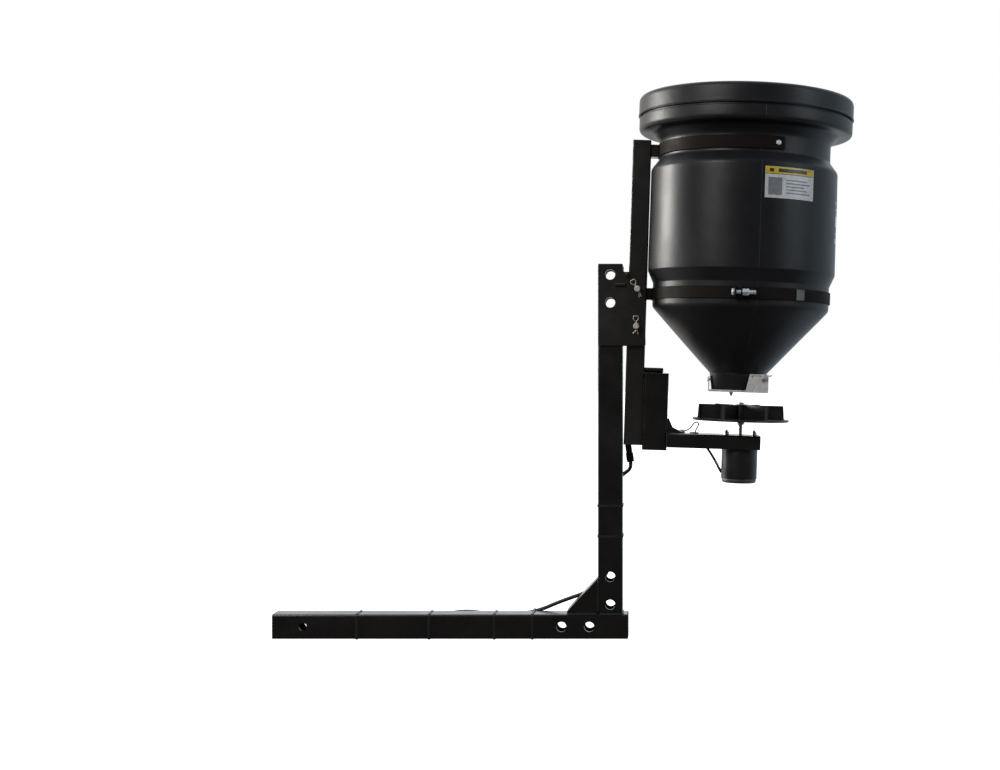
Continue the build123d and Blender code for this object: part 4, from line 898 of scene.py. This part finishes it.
def world_lobe(tree, direction, low, high, color):
    """Light from a soft patch of the surround, fading out away from a direction."""
    place = tree.nodes.new("ShaderNodeTexCoord")
    dot = tree.nodes.new("ShaderNodeVectorMath")
    dot.operation = "DOT_PRODUCT"
    dot.inputs[1].default_value = Vector(direction).normalized()
    tree.links.new(place.outputs["Generated"], dot.inputs[0])
    fade = tree.nodes.new("ShaderNodeMapRange")
    fade.interpolation_type = "SMOOTHSTEP"
    fade.inputs["From Min"].default_value = low
    fade.inputs["From Max"].default_value = high
    tree.links.new(dot.outputs["Value"], fade.inputs["Value"])
    tint = tree.nodes.new("ShaderNodeVectorMath")
    tint.operation = "SCALE"
    tint.inputs[0].default_value = color
    tree.links.new(fade.outputs["Result"], tint.inputs["Scale"])
    return tint.outputs["Vector"]


def make_world():
    """A white surround to the camera; to the object, a soft box of light behind and left."""
    world = bpy.data.worlds.new("studio")
    bpy.context.scene.world = world
    world.use_nodes = True
    tree = world.node_tree
    total = None
    for direction, low, high, color in WORLD_LOBES:
        lobe = world_lobe(tree, direction, low, high, color)
        if total is None:
            total = lobe
            continue
        add = tree.nodes.new("ShaderNodeVectorMath")
        add.operation = "ADD"
        tree.links.new(total, add.inputs[0])
        tree.links.new(lobe, add.inputs[1])
        total = add.outputs["Vector"]
    light_path = tree.nodes.new("ShaderNodeLightPath")
    choose = tree.nodes.new("ShaderNodeMix")
    choose.data_type = "RGBA"
    tree.links.new(light_path.outputs["Is Camera Ray"], choose.inputs["Factor"])
    tree.links.new(total, choose.inputs["A"])
    choose.inputs["B"].default_value = (1.0, 1.0, 1.0, 1.0)
    background = tree.nodes["Background"]
    tree.links.new(choose.outputs["Result"], background.inputs["Color"])
    background.inputs["Strength"].default_value = 1.0


FLOOR_HALF = 60
FLOOR_LEVEL = -0.42


def make_stage():
    make_world()
    mesh = bpy.data.meshes.new("floor")
    corners = [(x * FLOOR_HALF, y * FLOOR_HALF, FLOOR_LEVEL) for x, y in ((-1, -1), (1, -1), (1, 1), (-1, 1))]
    mesh.from_pydata(corners, [], [(0, 1, 2, 3)])
    s = Shader("floor")
    s.set(Emission_Color=(1.0, 1.0, 1.0, 1.0), Emission_Strength=1.0)
    tone = s.mix(s.noise(1.5), (0.83, 0.83, 0.83), (0.87, 0.87, 0.87))
    s.finish(tone, s.ramp(s.noise(3.0), 0.0, 1.0, 0.7, 0.8))
    mesh.materials.append(s.material)
    floor = bpy.data.objects.new("floor", mesh)
    floor.visible_diffuse = False
    floor.visible_glossy = False
    bpy.context.scene.collection.objects.link(floor)
    area_light("key", (-1.6, -3.2, 2.6), (0.8, 0, 0.7), (1.6, 1.6), 72.0, (1.0, 0.98, 0.95))
    area_light("cool", (3.0, -1.2, 1.6), (0.9, 0, 0.7), (1.0, 1.6), 14.0, (0.82, 0.92, 1.0))
    sun = bpy.data.lights.new("low_sun", "SUN")
    sun.energy = 2.0
    sun.angle = math.radians(14.0)
    sun.color = (1.0, 0.97, 0.92)
    lamp = bpy.data.objects.new("low_sun", sun)
    lamp.rotation_euler = Vector((0.92, -0.32, -0.16)).to_track_quat("-Z", "Y").to_euler()
    bpy.context.scene.collection.objects.link(lamp)
    bpy.context.scene.view_settings.view_transform = "Standard"


make_stage()
